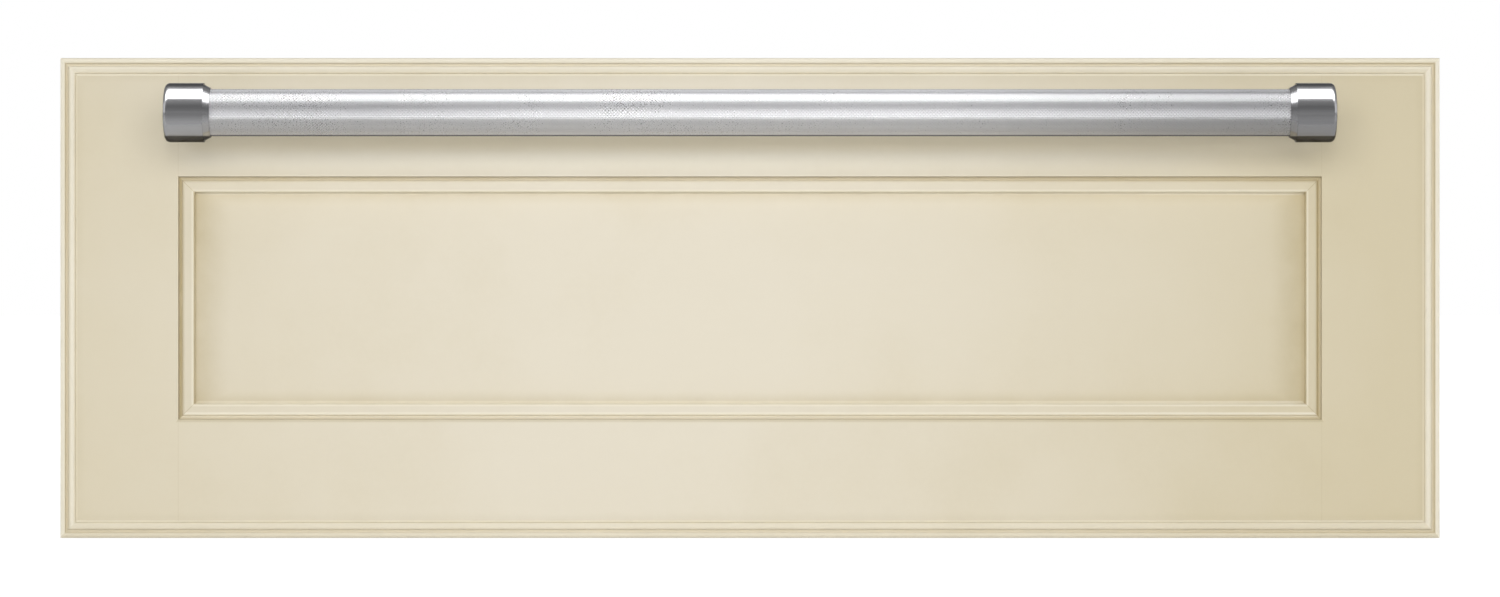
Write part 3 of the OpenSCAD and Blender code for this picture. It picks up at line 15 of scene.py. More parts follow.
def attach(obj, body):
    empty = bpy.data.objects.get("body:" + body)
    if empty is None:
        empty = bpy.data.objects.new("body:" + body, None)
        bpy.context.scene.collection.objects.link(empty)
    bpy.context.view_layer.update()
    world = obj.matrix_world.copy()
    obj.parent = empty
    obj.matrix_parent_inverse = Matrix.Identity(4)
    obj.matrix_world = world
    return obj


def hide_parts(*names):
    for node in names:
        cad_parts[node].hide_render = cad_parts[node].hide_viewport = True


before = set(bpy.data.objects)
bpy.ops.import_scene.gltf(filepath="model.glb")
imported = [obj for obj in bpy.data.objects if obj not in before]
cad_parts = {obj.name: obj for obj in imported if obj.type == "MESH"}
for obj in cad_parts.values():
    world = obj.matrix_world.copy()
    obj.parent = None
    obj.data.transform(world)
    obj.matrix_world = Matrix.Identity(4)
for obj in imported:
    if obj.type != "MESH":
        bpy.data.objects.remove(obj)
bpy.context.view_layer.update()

log = logging.getLogger("warming_drawer")

Point = tuple[float, float, float]
Span = tuple[float, float]
Colour = tuple[float, float, float, float]
Value = Union["Shade", float, Sequence[float]]

MM = 0.001
WHITE: Colour = (1.0, 1.0, 1.0, 1.0)
# The axis and the radius of the handle's bar, in millimetres
BAR_Y, BAR_Z, BAR_R = -99.8, 216.4, 12.7


class Along(Enum):
    """An axis of the drawer, along which a metal was brushed or a card lies."""

    X = (1.0, 0.0, 0.0)
    Y = (0.0, 1.0, 0.0)
    Z = (0.0, 0.0, 1.0)


def tone(red: float, green: float, blue: float) -> Colour:
    """Gives a linear colour for one that is written from 0 to 255, as it is seen.

    Args:
        red: The red part.
        green: The green part.
        blue: The blue part.

    Returns:
        The colour in linear light, with an alpha of 1.
    """
    linear = [
        c / 12.92 if c <= 0.04045 else ((c + 0.055) / 1.055) ** 2.4
        for c in (red / 255, green / 255, blue / 255)
    ]
    return (*linear, 1.0)


def grey(level: float) -> Colour:
    """Gives a grey of a linear level."""
    return (level, level, level, 1.0)


# ------------------------------------------------------------------------------------- shader nodes


class Shade:
    """One output of a material's nodes, which is written in sums as a number is."""

    def __init__(self, graph: "Graph", socket: bpy.types.NodeSocket) -> None:
        """Keeps the socket and the graph that it belongs to."""
        self.graph = graph
        self.socket = socket

    def _math(self, operation: str, *values: Value) -> "Shade":
        """Adds the Math node that works out an operation on values."""
        return self.graph.node("Math", {"operation": operation}, dict(enumerate(values)))

    def __add__(self, other: Value) -> "Shade":
        """Adds."""
        return self._math("ADD", self, other)

    __radd__ = __add__

    def __sub__(self, other: Value) -> "Shade":
        """Subtracts."""
        return self._math("SUBTRACT", self, other)

    def __rsub__(self, other: Value) -> "Shade":
        """Is subtracted from a number."""
        return self._math("SUBTRACT", other, self)

    def __mul__(self, other: Value) -> "Shade":
        """Multiplies."""
        return self._math("MULTIPLY", self, other)

    __rmul__ = __mul__

    def __truediv__(self, other: Value) -> "Shade":
        """Divides."""
        return self._math("DIVIDE", self, other)

    def __pow__(self, other: Value) -> "Shade":
        """Raises to a power."""
        return self._math("POWER", self, other)

    def __abs__(self) -> "Shade":
        """Drops the sign."""
        return self._math("ABSOLUTE", self)

    def least(self, other: Value) -> "Shade":
        """Gives the lesser of this and another."""
        return self._math("MINIMUM", self, other)

    def most(self, other: Value) -> "Shade":
        """Gives the greater of this and another."""
        return self._math("MAXIMUM", self, other)

    def clamped(self) -> "Shade":
        """Keeps this from 0 to 1."""
        return self.most(0.0).least(1.0)

    def turn(self, other: Value) -> "Shade":
        """Gives the angle of this over another."""
        return self._math("ARCTAN2", self, other)

    def wave(self, period: float) -> "Shade":
        """Goes from 0 up to 1 and back once in each period."""
        return self._math("PINGPONG", self * (2 / period), 1.0)

    def rise(self, low: float, high: float, start: float = 0.0, end: float = 1.0) -> "Shade":
        """Turns smoothly from one value to another.

        Args:
            low: Where the turn begins.
            high: Where it ends.
            start: The value up to low.
            end: The value from high on.

        Returns:
            The turned value.
        """
        return self.graph.node(
            "MapRange",
            {"interpolation_type": "SMOOTHSTEP"},
            {"Value": self, "From Min": low, "From Max": high, "To Min": start, "To Max": end},
        )

    def fall(self, low: float, high: float, start: float = 1.0) -> "Shade":
        """Turns smoothly from a value down to 0."""
        return self.rise(low, high, start, 0.0)

    def band(self, low: float, high: float, soft: float) -> "Shade":
        """Gives 1 between two values, and 0 away from them.

        Args:
            low: The band's lower edge.
            high: The band's upper edge.
            soft: How far each edge is spread.

        Returns:
            The mask.
        """
        return self.rise(low - soft, low + soft) * self.fall(high - soft, high + soft)


class Graph:
    """The nodes of one material, or of the world."""

    def __init__(self, owner: bpy.types.Material | bpy.types.World) -> None:
        """Empties the nodes of their owner.

        Args:
            owner: The material or the world.
        """
        owner.use_nodes = True
        self.owner = owner
        self.tree = owner.node_tree
        self.tree.nodes.clear()
        self._place: Shade | None = None

    @classmethod
    def named(cls, name: str) -> "Graph":
        """Makes an empty material."""
        return cls(bpy.data.materials.new(name))

    def node(
        self,
        kind: str,
        settings: Mapping[str, Any] | None = None,
        sockets: Mapping[Any, Value] | None = None,
        out: int | str = 0,
    ) -> Shade:
        """Adds a node.

        Args:
            kind: The node's type, without its ShaderNode.
            settings: The node's own settings, which are set first. "stops" is a ramp's list of (place, colour).
            sockets: Values or links for its inputs, by name or number.
            out: The output that is wanted, by name or number.

        Returns:
            That output.
        """
        made = self.tree.nodes.new("ShaderNode" + kind)
        for key, value in (settings or {}).items():
            if key == "stops":
                stops = made.color_ramp.elements
                while len(stops) < len(value):
                    stops.new(0.5)
                for stop, (place, colour) in zip(stops, value):
                    stop.position, stop.color = place, colour
            else:
                setattr(made, key, value)
        for key, value in (sockets or {}).items():
            if isinstance(value, Shade):
                self.tree.links.new(value.socket, made.inputs[key])
            else:
                made.inputs[key].default_value = value
        return Shade(self, made.outputs[out])

    def vector(self, operation: str, *values: Value, **named: Value) -> Shade:
        """Adds the Vector Math node that works out an operation on values."""
        return self.node("VectorMath", {"operation": operation}, {**dict(enumerate(values)), **named})

    def place(self) -> Shade:
        """Works out the place on the piece, once for each graph.

        Returns:
            The place in millimetres, as a vector.
        """
        if self._place is None:
            self._place = self.vector("SCALE", self.node("TexCoord", out="Object"), Scale=1 / MM)
        return self._place

    def xyz(self) -> tuple[Shade, Shade, Shade]:
        """Parts the place on the piece.

        Returns:
            Its three parts, in millimetres.
        """
        parts = self.node("SeparateXYZ", sockets={0: self.place()})
        outputs = parts.socket.node.outputs
        return Shade(self, outputs[0]), Shade(self, outputs[1]), Shade(self, outputs[2])

    def noise(
        self, size: float, detail: float = 3.0, rough: float = 0.5, stretch: Point = (1.0, 1.0, 1.0)
    ) -> Shade:
        """Adds cloudy noise from 0 to 1.

        Args:
            size: The size of a cloud in millimetres.
            detail: How many finer layers it has.
            rough: How strong the finer layers are.
            stretch: How many times longer a cloud is along each axis.

        Returns:
            The noise.
        """
        spread = self.vector("MULTIPLY", self.place(), tuple(1 / (size * s) for s in stretch))
        return self.node(
            "TexNoise", sockets={"Vector": spread, "Scale": 1.0, "Detail": detail, "Roughness": rough}
        )

    def mix(self, factor: Value, low: Value, high: Value) -> Shade:
        """Mixes two colours.

        Args:
            factor: How much of the second there is.
            low: The first colour.
            high: The second colour.

        Returns:
            The mixed colour.
        """
        return self.node("Mix", {"data_type": "RGBA"}, {0: factor, 6: low, 7: high}, 2)

    def bump(self, height: Value, depth: float, strength: float = 1.0, under: Shade | None = None) -> Shade:
        """Turns a height into a normal.

        Args:
            height: The height, from 0 to 1.
            depth: How deep 1 is, in millimetres.
            strength: How much of it shows.
            under: A normal that this one lies on.

        Returns:
            The normal.
        """
        sockets: dict[str, Value] = {"Height": height, "Distance": depth * MM, "Strength": strength}
        if under is not None:
            sockets["Normal"] = under
        return self.node("Bump", sockets=sockets)

    def finish(self, **sockets: Value) -> bpy.types.Material:
        """Closes the material with one shader.

        Args:
            **sockets: The shader's inputs, with _ for each space.

        Returns:
            The material.
        """
        named = {key.replace("_", " "): value for key, value in sockets.items()}
        self.close(self.node("BsdfPrincipled", sockets=named))
        return self.owner

    def close(self, shader: Shade, output: str = "ShaderNodeOutputMaterial") -> None:
        """Joins a shader to the output."""
        self.tree.links.new(shader.socket, self.tree.nodes.new(output).inputs["Surface"])


# ------------------------------------------------------------------------------------- finishes


@dataclass(frozen=True)
class Finish(ABC):
    """What a surface is made of."""

    made: ClassVar[dict[str, bpy.types.Material]] = {}

    name: str

    @abstractmethod
    def dress(self, graph: Graph) -> bpy.types.Material:
        """Builds the finish in an empty graph."""

    def material(self) -> bpy.types.Material:
        """Makes the finish when it is first asked for.

        Returns:
            Its material.
        """
        if self.name not in self.made:
            self.made[self.name] = self.dress(Graph.named(self.name))
        return self.made[self.name]


class FrontMap:
    """Where a place lies on the wooden front: lengths in millimetres, and masks from 0 to 1."""

    half_w: float = 378.0
    low_z: float = -15.0
    high_z: float = 248.0
    opening_x: float = 313.0
    opening_half_h: float = 66.5
    centre_z: float = 116.5
    face_y: float = -51.8
    diagonal: float = 0.4

    def __init__(self, graph: Graph) -> None:
        """Measures from the front's edges, and from the edges of the frame's opening.

        Args:
            graph: The paint's nodes.
        """
        self.x, y, self.z = graph.xyz()
        self.side = abs(self.x)
        to_side = self.half_w - self.side
        to_end = (self.z - self.low_z).least(self.high_z - self.z)
        self.edge = to_side.least(to_end)
        self.across = self.side - self.opening_x
        self.along = abs(self.z - self.centre_z) - self.opening_half_h
        self.inner = self.across.most(self.along)
        self.by_side = (to_end - to_side).rise(-self.diagonal, self.diagonal)
        self.by_stile = (self.across - self.along).rise(-self.diagonal, self.diagonal)
        self.by_rail = 1.0 - self.by_stile
        self.on_right = self.x.rise(-50.0, 50.0)
        self.at_foot = (self.centre_z - self.z).rise(self.opening_half_h - 8.0, self.opening_half_h - 4.0)
        self.in_front = y.fall(self.face_y + 9.5, self.face_y + 12.0)


@dataclass(frozen=True)
class GlazedPaint(Finish):
    """Cream paint with an amber glaze brushed into the grooves and wiped off the rest, in millimetres."""

    cream: Colour = tone(238, 230, 211)
    # Deeper cream for the painted falloff towards the sides, and for the grain
    deep_cream: Colour = tone(223, 211, 179)
    glaze: Colour = tone(172, 152, 88)
    # Pale paint for edges that wear pale, also used as painted highlight on edges and lines, and as painted light
    # in the bar's shadow
    pale_wear_and_highlight: Colour = tone(252, 245, 226)
    # Painted shade: the warm tint painted into the bar's shadow
    warm_shadow_tint: Colour = tone(245, 234, 206)
    # From the front's edge inwards
    rounding: Span = (0.0, 2.6)
    sunk_line: Span = (3.5, 4.8)
    sunk_sides: Span = (3.4, 5.9)
    bead: Span = (5.9, 8.7)
    fine_line: Span = (8.4, 9.9)
    # From the opening's edge, and less than 0 inside it
    groove: Span = (-1.9, -0.1)
    foot_slope: Span = (-3.8, -1.4)
    moulding_lip: Span = (-8.2, -7.2)
    panel_line: Span = (-10.0, -8.2)
    moulding_w: float = 8.4
    darkening_reach: Span = (22.0, 8.0)
    joint: float = 0.15
    # The middle of the painted falloff, which darkens and yellows the paint towards the sides, and the band under
    # the bar where painted light lifts the bar's shadow and a warm tint is painted into that shadow
    bright_x: float = 60.0
    under_bar: Span = (187.5, 206.0)
    near_bar: Span = (193.0, 201.0)
    bar_end: Span = (300.0, 318.0)

    def _lines(self, at: FrontMap) -> Shade:
        """Gives the glaze in the sunk line, the grooves and the mitres, and the darkening along the moulding's drop
        to the panel, the grooves and the drop darker along the stiles than along the rails.

        Args:
            at: The place on the front.

        Returns:
            How much glaze there is.
        """
        outer = at.edge.band(*self.sunk_line, 0.8) * 0.06 * (1.0 - at.on_right * 0.8) * at.by_side
        to_right = at.on_right * at.by_stile * 0.9
        sunk = at.inner - at.at_foot * at.by_rail * 1.5 + to_right
        groove = sunk.band(*self.groove, 0.55) * (at.by_stile * (0.27 - at.on_right * 0.15) + 0.28)
        drop = (at.inner + to_right).band(-self.moulding_w - 0.8, -self.moulding_w + 0.2, 0.45)
        drop = drop * (at.by_stile * (0.38 - at.on_right * 0.13) + 0.03)
        mitre = (at.across - at.along).band(-0.25, 0.25, 0.25) * at.inner.band(-self.moulding_w, 0.0, 0.2) * 0.4
        return outer.most(groove.most(drop).most(mitre))

    def _edge_darkening(self, at: FrontMap) -> Shade:
        """Gives the darkening inside the front's edge, and on the panel beside the moulding.

        Args:
            at: The place on the front.

        Returns:
            How much glaze there is.
        """
        inside = -self.moulding_w
        corner = at.across.rise(inside - self.darkening_reach[0], inside, 0.0, 0.3)
        corner = corner.most(at.along.rise(inside - self.darkening_reach[1], inside, 0.0, 0.2))
        return at.edge.fall(9.4, 15.0, 0.08) + corner * at.inner.fall(inside, inside + 1.0)

    def _wear_and_highlight(self, at: FrontMap) -> Shade:
        """Gives where the paint is made pale: partly wear and partly painted highlight on the edges that stand
        proud, and painted highlight that lifts the shade of the sunk line, the fine line, the moulding's lip, the
        panel line and the rails' foot slope.

        Args:
            at: The place on the front.

        Returns:
            How much of the pale paint shows.
        """
        pale_wear_and_highlight = (at.edge.band(*self.rounding, 0.5) + at.edge.band(*self.bead, 0.5)) * (at.by_side * 0.4 + 0.6)
        pale_wear_and_highlight = pale_wear_and_highlight + at.edge.band(*self.sunk_sides, 0.6) * 0.7 * (1.0 - at.by_side * (0.5 - at.on_right * 0.4))
        pale_wear_and_highlight = pale_wear_and_highlight + at.edge.band(*self.fine_line, 0.4) * (0.8 - at.by_side * 0.45)
        pale_wear_and_highlight = pale_wear_and_highlight + at.inner.band(*self.moulding_lip, 0.4) * 0.7
        on_rail = at.inner.band(*self.panel_line, 0.4) + at.inner.band(*self.foot_slope, 0.5) * at.at_foot
        return (pale_wear_and_highlight + on_rail * at.by_rail).least(1.0)

    def dress(self, graph: Graph) -> bpy.types.Material:
        """Builds the paint, its glaze, and the brush marks under them.

        Args:
            graph: The finish's empty graph.

        Returns:
            The material.
        """
        at = FrontMap(graph)
        cloud = graph.noise(90.0, 4.0, 0.55)
        dab = graph.noise(14.0, 4.0, 0.6)
        grain = graph.noise(2.4, 3.0, 0.6, (14.0, 1.0, 1.0))
        mottle = graph.noise(3.2, 4.0, 0.65)
        joint = at.across.band(-self.joint, self.joint, self.joint) * at.inner.rise(0.4, 1.2)
        joint = joint * at.edge.rise(9.0, 10.0) * 0.14
        # Darkening inside the edges, the dark joints, and random tone
        darkening = self._edge_darkening(at) * (dab * 0.9 + 0.5) + joint + (cloud - 0.5) * 0.12 + (mottle - 0.5) * 0.05
        glaze = ((self._lines(at) * (dab * 0.7 + 0.68)).most(darkening) * at.in_front).clamped()
        # Painted falloff: the paint turns darker and yellower away from the middle, standing in for the light
        # falling off towards the sides
        far = (abs(at.x + self.bright_x) / at.half_w) ** 1.8
        paint = graph.mix((far * 0.92 + (cloud - 0.5) * 0.5).clamped(), self.cream, self.deep_cream)
        # Partly real wear, partly painted highlight on the edges and beside the lines
        paint = graph.mix(self._wear_and_highlight(at) * at.in_front, paint, self.pale_wear_and_highlight)
        # Painted light lifts the bar's shadow on the paint below the bar, less towards the sides, and a warm tint
        # is painted into the shadow close under the bar
        below = at.z.band(*self.under_bar, 3.5) * at.side.fall(*self.bar_end) * at.in_front
        paint = graph.mix(below * (1.0 - far * 1.3).most(0.0), paint, self.pale_wear_and_highlight)
        paint = graph.mix(below * at.z.rise(*self.near_bar) * 0.9, paint, self.warm_shadow_tint)
        paint = graph.mix((grain - 0.5) * 0.05 + 0.02, paint, self.deep_cream)
        peel = graph.bump(mottle, 0.05, 0.35, graph.bump(grain, 0.05, 0.25))
        return graph.finish(
            Base_Color=graph.mix(glaze, paint, self.glaze), Roughness=glaze * 0.14 + (mottle - 0.5) * 0.1 + 0.44,
            Normal=peel, Coat_Weight=0.12, Coat_Roughness=0.3,
        )


@dataclass(frozen=True)
class BrushedMetal(Finish):
    """Metal with fine scratches that all run one way."""

    colour: Colour = tone(200, 200, 202)
    shadow: Colour = tone(150, 150, 152)
    along: Along = Along.X
    roughness: float = 0.26
    streaks: float = 0.5
    stains: float = 0.12
    anisotropy: float = 0.5
    rim: float = 1.0
    scratch: float = 90.0

    def shade(self, graph: Graph, colour: Shade) -> Shade:
        """Gives the colour with the shade that lies on it, which is none on most metal."""
        return colour

    def dress(self, graph: Graph) -> bpy.types.Material:
        """Builds the metal with broad and fine streaks, and a few stains.

        Args:
            graph: The finish's empty graph.

        Returns:
            The material.
        """
        stretch = tuple(self.scratch if a else 1.0 for a in self.along.value)
        broad = graph.noise(1.6, 3.0, 0.6, stretch)
        fine = graph.noise(0.35, 2.0, 0.6, stretch)
        cloud = graph.noise(70.0, 4.0, 0.6)
        streak = (broad - 0.5) * self.streaks + (fine - 0.5) * (self.streaks * 0.6)
        dark = (0.5 - streak * 0.9 + (cloud - 0.5) * self.stains * 2).clamped()
        return graph.finish(
            Base_Color=self.shade(graph, graph.mix(dark * 0.5, self.colour, self.shadow)),
            Metallic=1.0,
            Roughness=streak * 0.18 + (cloud - 0.5) * self.stains + self.roughness,
            Normal=graph.bump(broad * 0.5 + fine * 0.5, 0.012, self.streaks),
            Anisotropic=self.anisotropy,
            Specular_Tint=grey(self.rim),
        )


@dataclass(frozen=True)
class TurnedCap(BrushedMetal):
    """A cap's steel, in shade at its top and bottom, and on the right one below its middle too."""

    bottom: Span = (203.2, 204.2)
    top: Span = (229.8, 231.0)
    right_middle: Span = (210.5, 215.5)
    dark: Colour = tone(60, 60, 64)

    def shade(self, graph: Graph, colour: Shade) -> Shade:
        """Darkens the colour where the cap lies in shade.

        Args:
            graph: The cap's nodes.
            colour: Its steel's colour.

        Returns:
            The darkened colour.
        """
        x, _, z = graph.xyz()
        dim = z.fall(*self.bottom, 0.85).most(z.rise(*self.top, 0.0, 0.5))
        return graph.mix(dim.most(x.rise(0.0, 1.0) * z.fall(*self.right_middle, 0.3)), colour, self.dark)


@dataclass(frozen=True)
class KnurledSteel(Finish):
    """Bright steel with cut diamonds, whose sides catch the light more steeply than their shallow slopes.

    Heights are in parts of the bar's radius from its axis, and lengths along it in millimetres.
    """

    step: float
    rows: int
    colour: Colour = tone(238, 238, 240)
    shadow: Colour = tone(214, 214, 217)
    shade: Colour = tone(88, 88, 92)
    # Painted shade that dims the bar towards its ends, more on the right
    dull: Colour = tone(140, 140, 143)
    # Painted light on the lower part of the bar
    clear: Colour = tone(253, 253, 254)
    flat: float = 0.6
    tilt: Point = (0.3, 1.05, 1.05)
    # Heights of the painted shade at the bottom and top, of the painted light below the middle, and of the band
    # that the painted end shade dims most
    foot: Span = (-0.99, -0.92)
    shoulder: Span = (0.77, 1.0)
    crown: Span = (0.92, 1.0)
    lower: Span = (-0.7, -0.2)
    middle: Span = (-0.2, 0.3)
    end_shade_from: float = 60.0

    def _normal(self, graph: Graph, x: Shade, out_y: Shade, out_z: Shade) -> Shade:
        """Leans the sides of the diamonds away from the bar's own roundness.

        Args:
            graph: The material's nodes.
            x: The place along the bar, in millimetres.
            out_y: The place before and behind its axis.
            out_z: The place over its axis.

        Returns:
            The normal.
        """
        out = graph.node("CombineXYZ", sockets={0: 0.0, 1: out_y, 2: out_z})
        radial = graph.vector("NORMALIZE", out)
        way = graph.vector("NORMALIZE", graph.vector("SUBTRACT", graph.node("TexCoord", out="Normal"), radial))
        column, row = x / self.step, out_z.turn(out_y) * (self.rows / math.pi)
        rim = ((column + row) / 2).wave(1.0).most(((column - row) / 2).wave(1.0))
        side = rim.rise(self.flat - 0.08, self.flat + 0.08)
        lean = graph.vector("SCALE", graph.vector("MULTIPLY", way, self.tilt), Scale=side)
        return graph.node(
            "VectorTransform", {"vector_type": "NORMAL", "convert_from": "OBJECT", "convert_to": "WORLD"},
            {0: graph.vector("ADD", radial, lean)},
        )

    def dress(self, graph: Graph) -> bpy.types.Material:
        """Builds the diamonds' sides and flats, a few stains, painted shade at the top and bottom and towards the
        ends, and painted light on the lower part.

        Args:
            graph: The finish's empty graph.

        Returns:
            The material.
        """
        x, y, z = graph.xyz()
        out_y, out_z = y - BAR_Y, z - BAR_Z
        normal = self._normal(graph, x, out_y, out_z)
        cloud = graph.noise(70.0, 4.0, 0.6)
        fine = graph.noise(0.6, 3.0, 0.6)
        height = out_z / BAR_R
        # Painted shade at the bar's bottom and top, and painted shade towards its ends
        shaded = height.fall(*self.foot).most(height.rise(*self.shoulder, 0.0, 0.75)).most(height.rise(*self.crown))
        end_shade = height.band(*self.middle, 0.1) * abs(x).rise(self.end_shade_from, 240.0) * 0.4
        end_shade = end_shade.most(x.rise(self.end_shade_from, 300.0) * 0.5)
        end_shade = end_shade.most((0.0 - x).rise(self.end_shade_from, 300.0) * 0.18)
        colour = graph.mix(fine * 0.3 + cloud * 0.3, self.colour, self.shadow)
        # Painted light on the lower part of the bar
        colour = graph.mix(height.band(*self.lower, 0.12), colour, self.clear)
        colour = graph.mix(shaded, graph.mix(end_shade, colour, self.dull), self.shade)
        rough = (cloud - 0.5) * 0.03 + (fine - 0.5) * 0.04 + 0.28
        return graph.finish(
            Base_Color=colour, Metallic=1.0, Roughness=rough, Normal=normal, Specular_Tint=grey(0.5)
        )


@dataclass(frozen=True)
class ZincSheet(Finish):
    """Sheet steel out of the zinc bath, with its crystals."""

    bright: Colour = tone(196, 200, 203)
    dull: Colour = tone(158, 163, 167)
    crystal: float = 9.0

    def dress(self, graph: Graph) -> bpy.types.Material:
        """Builds the crystals, the rolling marks and the white bloom.

        Args:
            graph: The finish's empty graph.

        Returns:
            The material.
        """
        bent = graph.noise(7.0, 3.0, 0.6)
        spread = graph.vector("MULTIPLY_ADD", graph.place(), (1 / self.crystal,) * 3, bent * 0.6)
        cells = graph.node("TexVoronoi", sockets={"Vector": spread, "Scale": 1.0}, out="Color")
        level = graph.node("SeparateXYZ", sockets={0: cells})
        cloud = graph.noise(120.0, 4.0, 0.6)
        rolled = graph.noise(1.2, 2.0, 0.5, (1.0, 60.0, 1.0))
        dark = level * 0.5 + (cloud - 0.5) * 0.5 + 0.2
        return graph.finish(
            Base_Color=graph.mix(dark.clamped(), self.bright, self.dull),
            Metallic=0.9,
            Roughness=level * 0.14 + (rolled - 0.5) * 0.08 + 0.34,
            Normal=graph.bump(level * 0.5 + rolled * 0.3, 0.03, 0.3),
        )


@dataclass(frozen=True)
class HotSteel(Finish):
    """A heater's sheath, oxidised in bands of straw and blue."""

    steel: Colour = tone(92, 84, 78)
    straw: Colour = tone(122, 98, 66)
    blue: Colour = tone(70, 74, 88)
    soot: Colour = tone(52, 46, 42)

    def dress(self, graph: Graph) -> bpy.types.Material:
        """Builds the oxide over the drawn sheath.

        Args:
            graph: The finish's empty graph.

        Returns:
            The material.
        """
        cloud = graph.noise(38.0, 4.0, 0.6)
        speck = graph.noise(1.1, 3.0, 0.7)
        colour = graph.mix(cloud.rise(0.35, 0.55), self.steel, self.straw)
        colour = graph.mix(cloud.rise(0.55, 0.72), colour, self.blue)
        colour = graph.mix(speck.rise(0.55, 0.8) * 0.4, colour, self.soot)
        rough = speck * 0.25 + cloud * 0.12 + 0.3
        return graph.finish(
            Base_Color=colour, Metallic=0.85, Roughness=rough, Normal=graph.bump(speck, 0.03, 0.5)
        )


@dataclass(frozen=True)
class Moulded(Finish):
    """Moulded plastic or cured rubber with a fine spark texture."""

    colour: Colour = tone(34, 34, 36)
    dust: Colour = tone(58, 58, 60)
    roughness: float = 0.48
    texture: float = 0.5
    sheen: float = 0.0

    def dress(self, graph: Graph) -> bpy.types.Material:
        """Builds the spark texture, flow marks and dust.

        Args:
            graph: The finish's empty graph.

        Returns:
            The material.
        """
        speck = graph.noise(0.5, 2.0, 0.6)
        cloud = graph.noise(26.0, 4.0, 0.6)
        colour = graph.mix(cloud.rise(0.4, 0.8) * 0.35 + speck * 0.12, self.colour, self.dust)
        rough = speck * 0.12 + (cloud - 0.5) * 0.14 + self.roughness
        normal = graph.bump(speck, 0.03, self.texture)
        return graph.finish(
            Base_Color=colour, Roughness=rough, Normal=normal, Sheen_Weight=self.sheen, Sheen_Roughness=0.5
        )


@dataclass(frozen=True)
class Lens(Finish):
    """A small clear amber dome over a lamp."""

    amber: Colour = tone(240, 150, 40)
    deep: Colour = tone(170, 80, 18)

    def dress(self, graph: Graph) -> bpy.types.Material:
        """Builds the dome's inner prisms.

        Args:
            graph: The finish's empty graph.

        Returns:
            The material.
        """
        prisms = graph.node("TexVoronoi", sockets={"Vector": graph.place(), "Scale": 1.6}, out="Distance")
        colour = graph.mix(prisms.rise(0.1, 0.7), self.amber, self.deep)
        return graph.finish(
            Base_Color=colour, Roughness=prisms * 0.12 + 0.08, Normal=graph.bump(prisms, 0.05, 0.4),
            Coat_Weight=0.6, Coat_Roughness=0.05,
        )


@dataclass(frozen=True)
class SolderMask(Finish):
    """Green board with copper tracks under its lacquer."""

    mask: Colour = tone(24, 92, 54)
    track: Colour = tone(46, 132, 80)
    pad: Colour = tone(196, 198, 196)
    cloth: Colour = tone(12, 60, 34)
    pitch: float = 2.54

    def dress(self, graph: Graph) -> bpy.types.Material:
        """Builds tracks, pads and the glass weave.

        Args:
            graph: The finish's empty graph.

        Returns:
            The material.
        """
        x, _, z = graph.xyz()
        cell = graph.node(
            "TexVoronoi", {"distance": "MANHATTAN"}, {"Vector": graph.place(), "Scale": 0.16}, "Color"
        )
        way = graph.node("SeparateXYZ", sockets={0: cell})
        lanes = way.rise(0.49, 0.51) * x.wave(self.pitch).rise(0.55, 0.7)
        lanes = lanes.most(way.fall(0.49, 0.51) * z.wave(self.pitch).rise(0.55, 0.7))
        pads = x.wave(3 * self.pitch).rise(0.86, 0.9) * z.wave(2 * self.pitch).rise(0.84, 0.88)
        weave = (x.wave(0.8) + z.wave(0.8)) * 0.5
        colour = graph.mix(pads, graph.mix(lanes, self.mask, self.track), self.pad)
        return graph.finish(
            Base_Color=graph.mix(weave * 0.08, colour, self.cloth), Roughness=weave * 0.08 + 0.26,
            Metallic=pads * 0.9, Normal=graph.bump(lanes * 0.7 + pads * 0.3, 0.06, 0.6),
            Coat_Weight=0.4, Coat_Roughness=0.15,
        )


@dataclass(frozen=True)
class GlassWool(Finish):
    """A blanket of spun glass fibres."""

    pale: Colour = tone(236, 226, 190)
    binder: Colour = tone(206, 178, 112)

    def dress(self, graph: Graph) -> bpy.types.Material:
        """Builds tangled fibres in three directions, and the resin that holds them.

        Args:
            graph: The finish's empty graph.

        Returns:
            The material.
        """
        threads = graph.noise(1.4, 3.0, 0.7, (9.0, 1.0, 1.0)) + graph.noise(1.4, 3.0, 0.7, (1.0, 9.0, 1.0))
        threads = threads * 0.4 + graph.noise(1.2, 3.0, 0.7, (1.0, 1.0, 8.0)) * 0.2
        clump = graph.noise(22.0, 4.0, 0.6)
        colour = graph.mix(threads.rise(0.38, 0.66), self.binder, self.pale)
        colour = graph.mix(clump.rise(0.45, 0.8) * 0.4, colour, self.binder)
        return graph.finish(
            Base_Color=colour, Roughness=clump * 0.1 + 0.86, Normal=graph.bump(threads, 0.5, 0.8),
            Sheen_Weight=0.4, Sheen_Roughness=0.6,
        )


@dataclass(frozen=True)
class Sleeve(Finish):
    """Braided glass sleeve on a wire."""

    colour: Colour = tone(178, 36, 30)
    dark: Colour = tone(110, 20, 18)

    def dress(self, graph: Graph) -> bpy.types.Material:
        """Builds the braid.

        Args:
            graph: The finish's empty graph.

        Returns:
            The material.
        """
        x, y, z = graph.xyz()
        braid = (x + y + z).wave(1.2) * 0.5 + (x - y + z).wave(1.2) * 0.5
        cloud = graph.noise(18.0, 3.0, 0.6)
        colour = graph.mix(braid.rise(0.2, 0.8) * 0.6 + cloud * 0.2, self.dark, self.colour)
        return graph.finish(
            Base_Color=colour, Roughness=braid * 0.15 + 0.5, Normal=graph.bump(braid, 0.12, 0.6)
        )


# ------------------------------------------------------------------------------------- shapes


def placed(name: str, data: bpy.types.ID) -> bpy.types.Object:
    """Puts some data in the scene.

    Args:
        name: The object's name.
        data: Its mesh, light or camera.

    Returns:
        The object.
    """
    made = bpy.data.objects.new(name, data)
    bpy.context.scene.collection.objects.link(made)
    return made


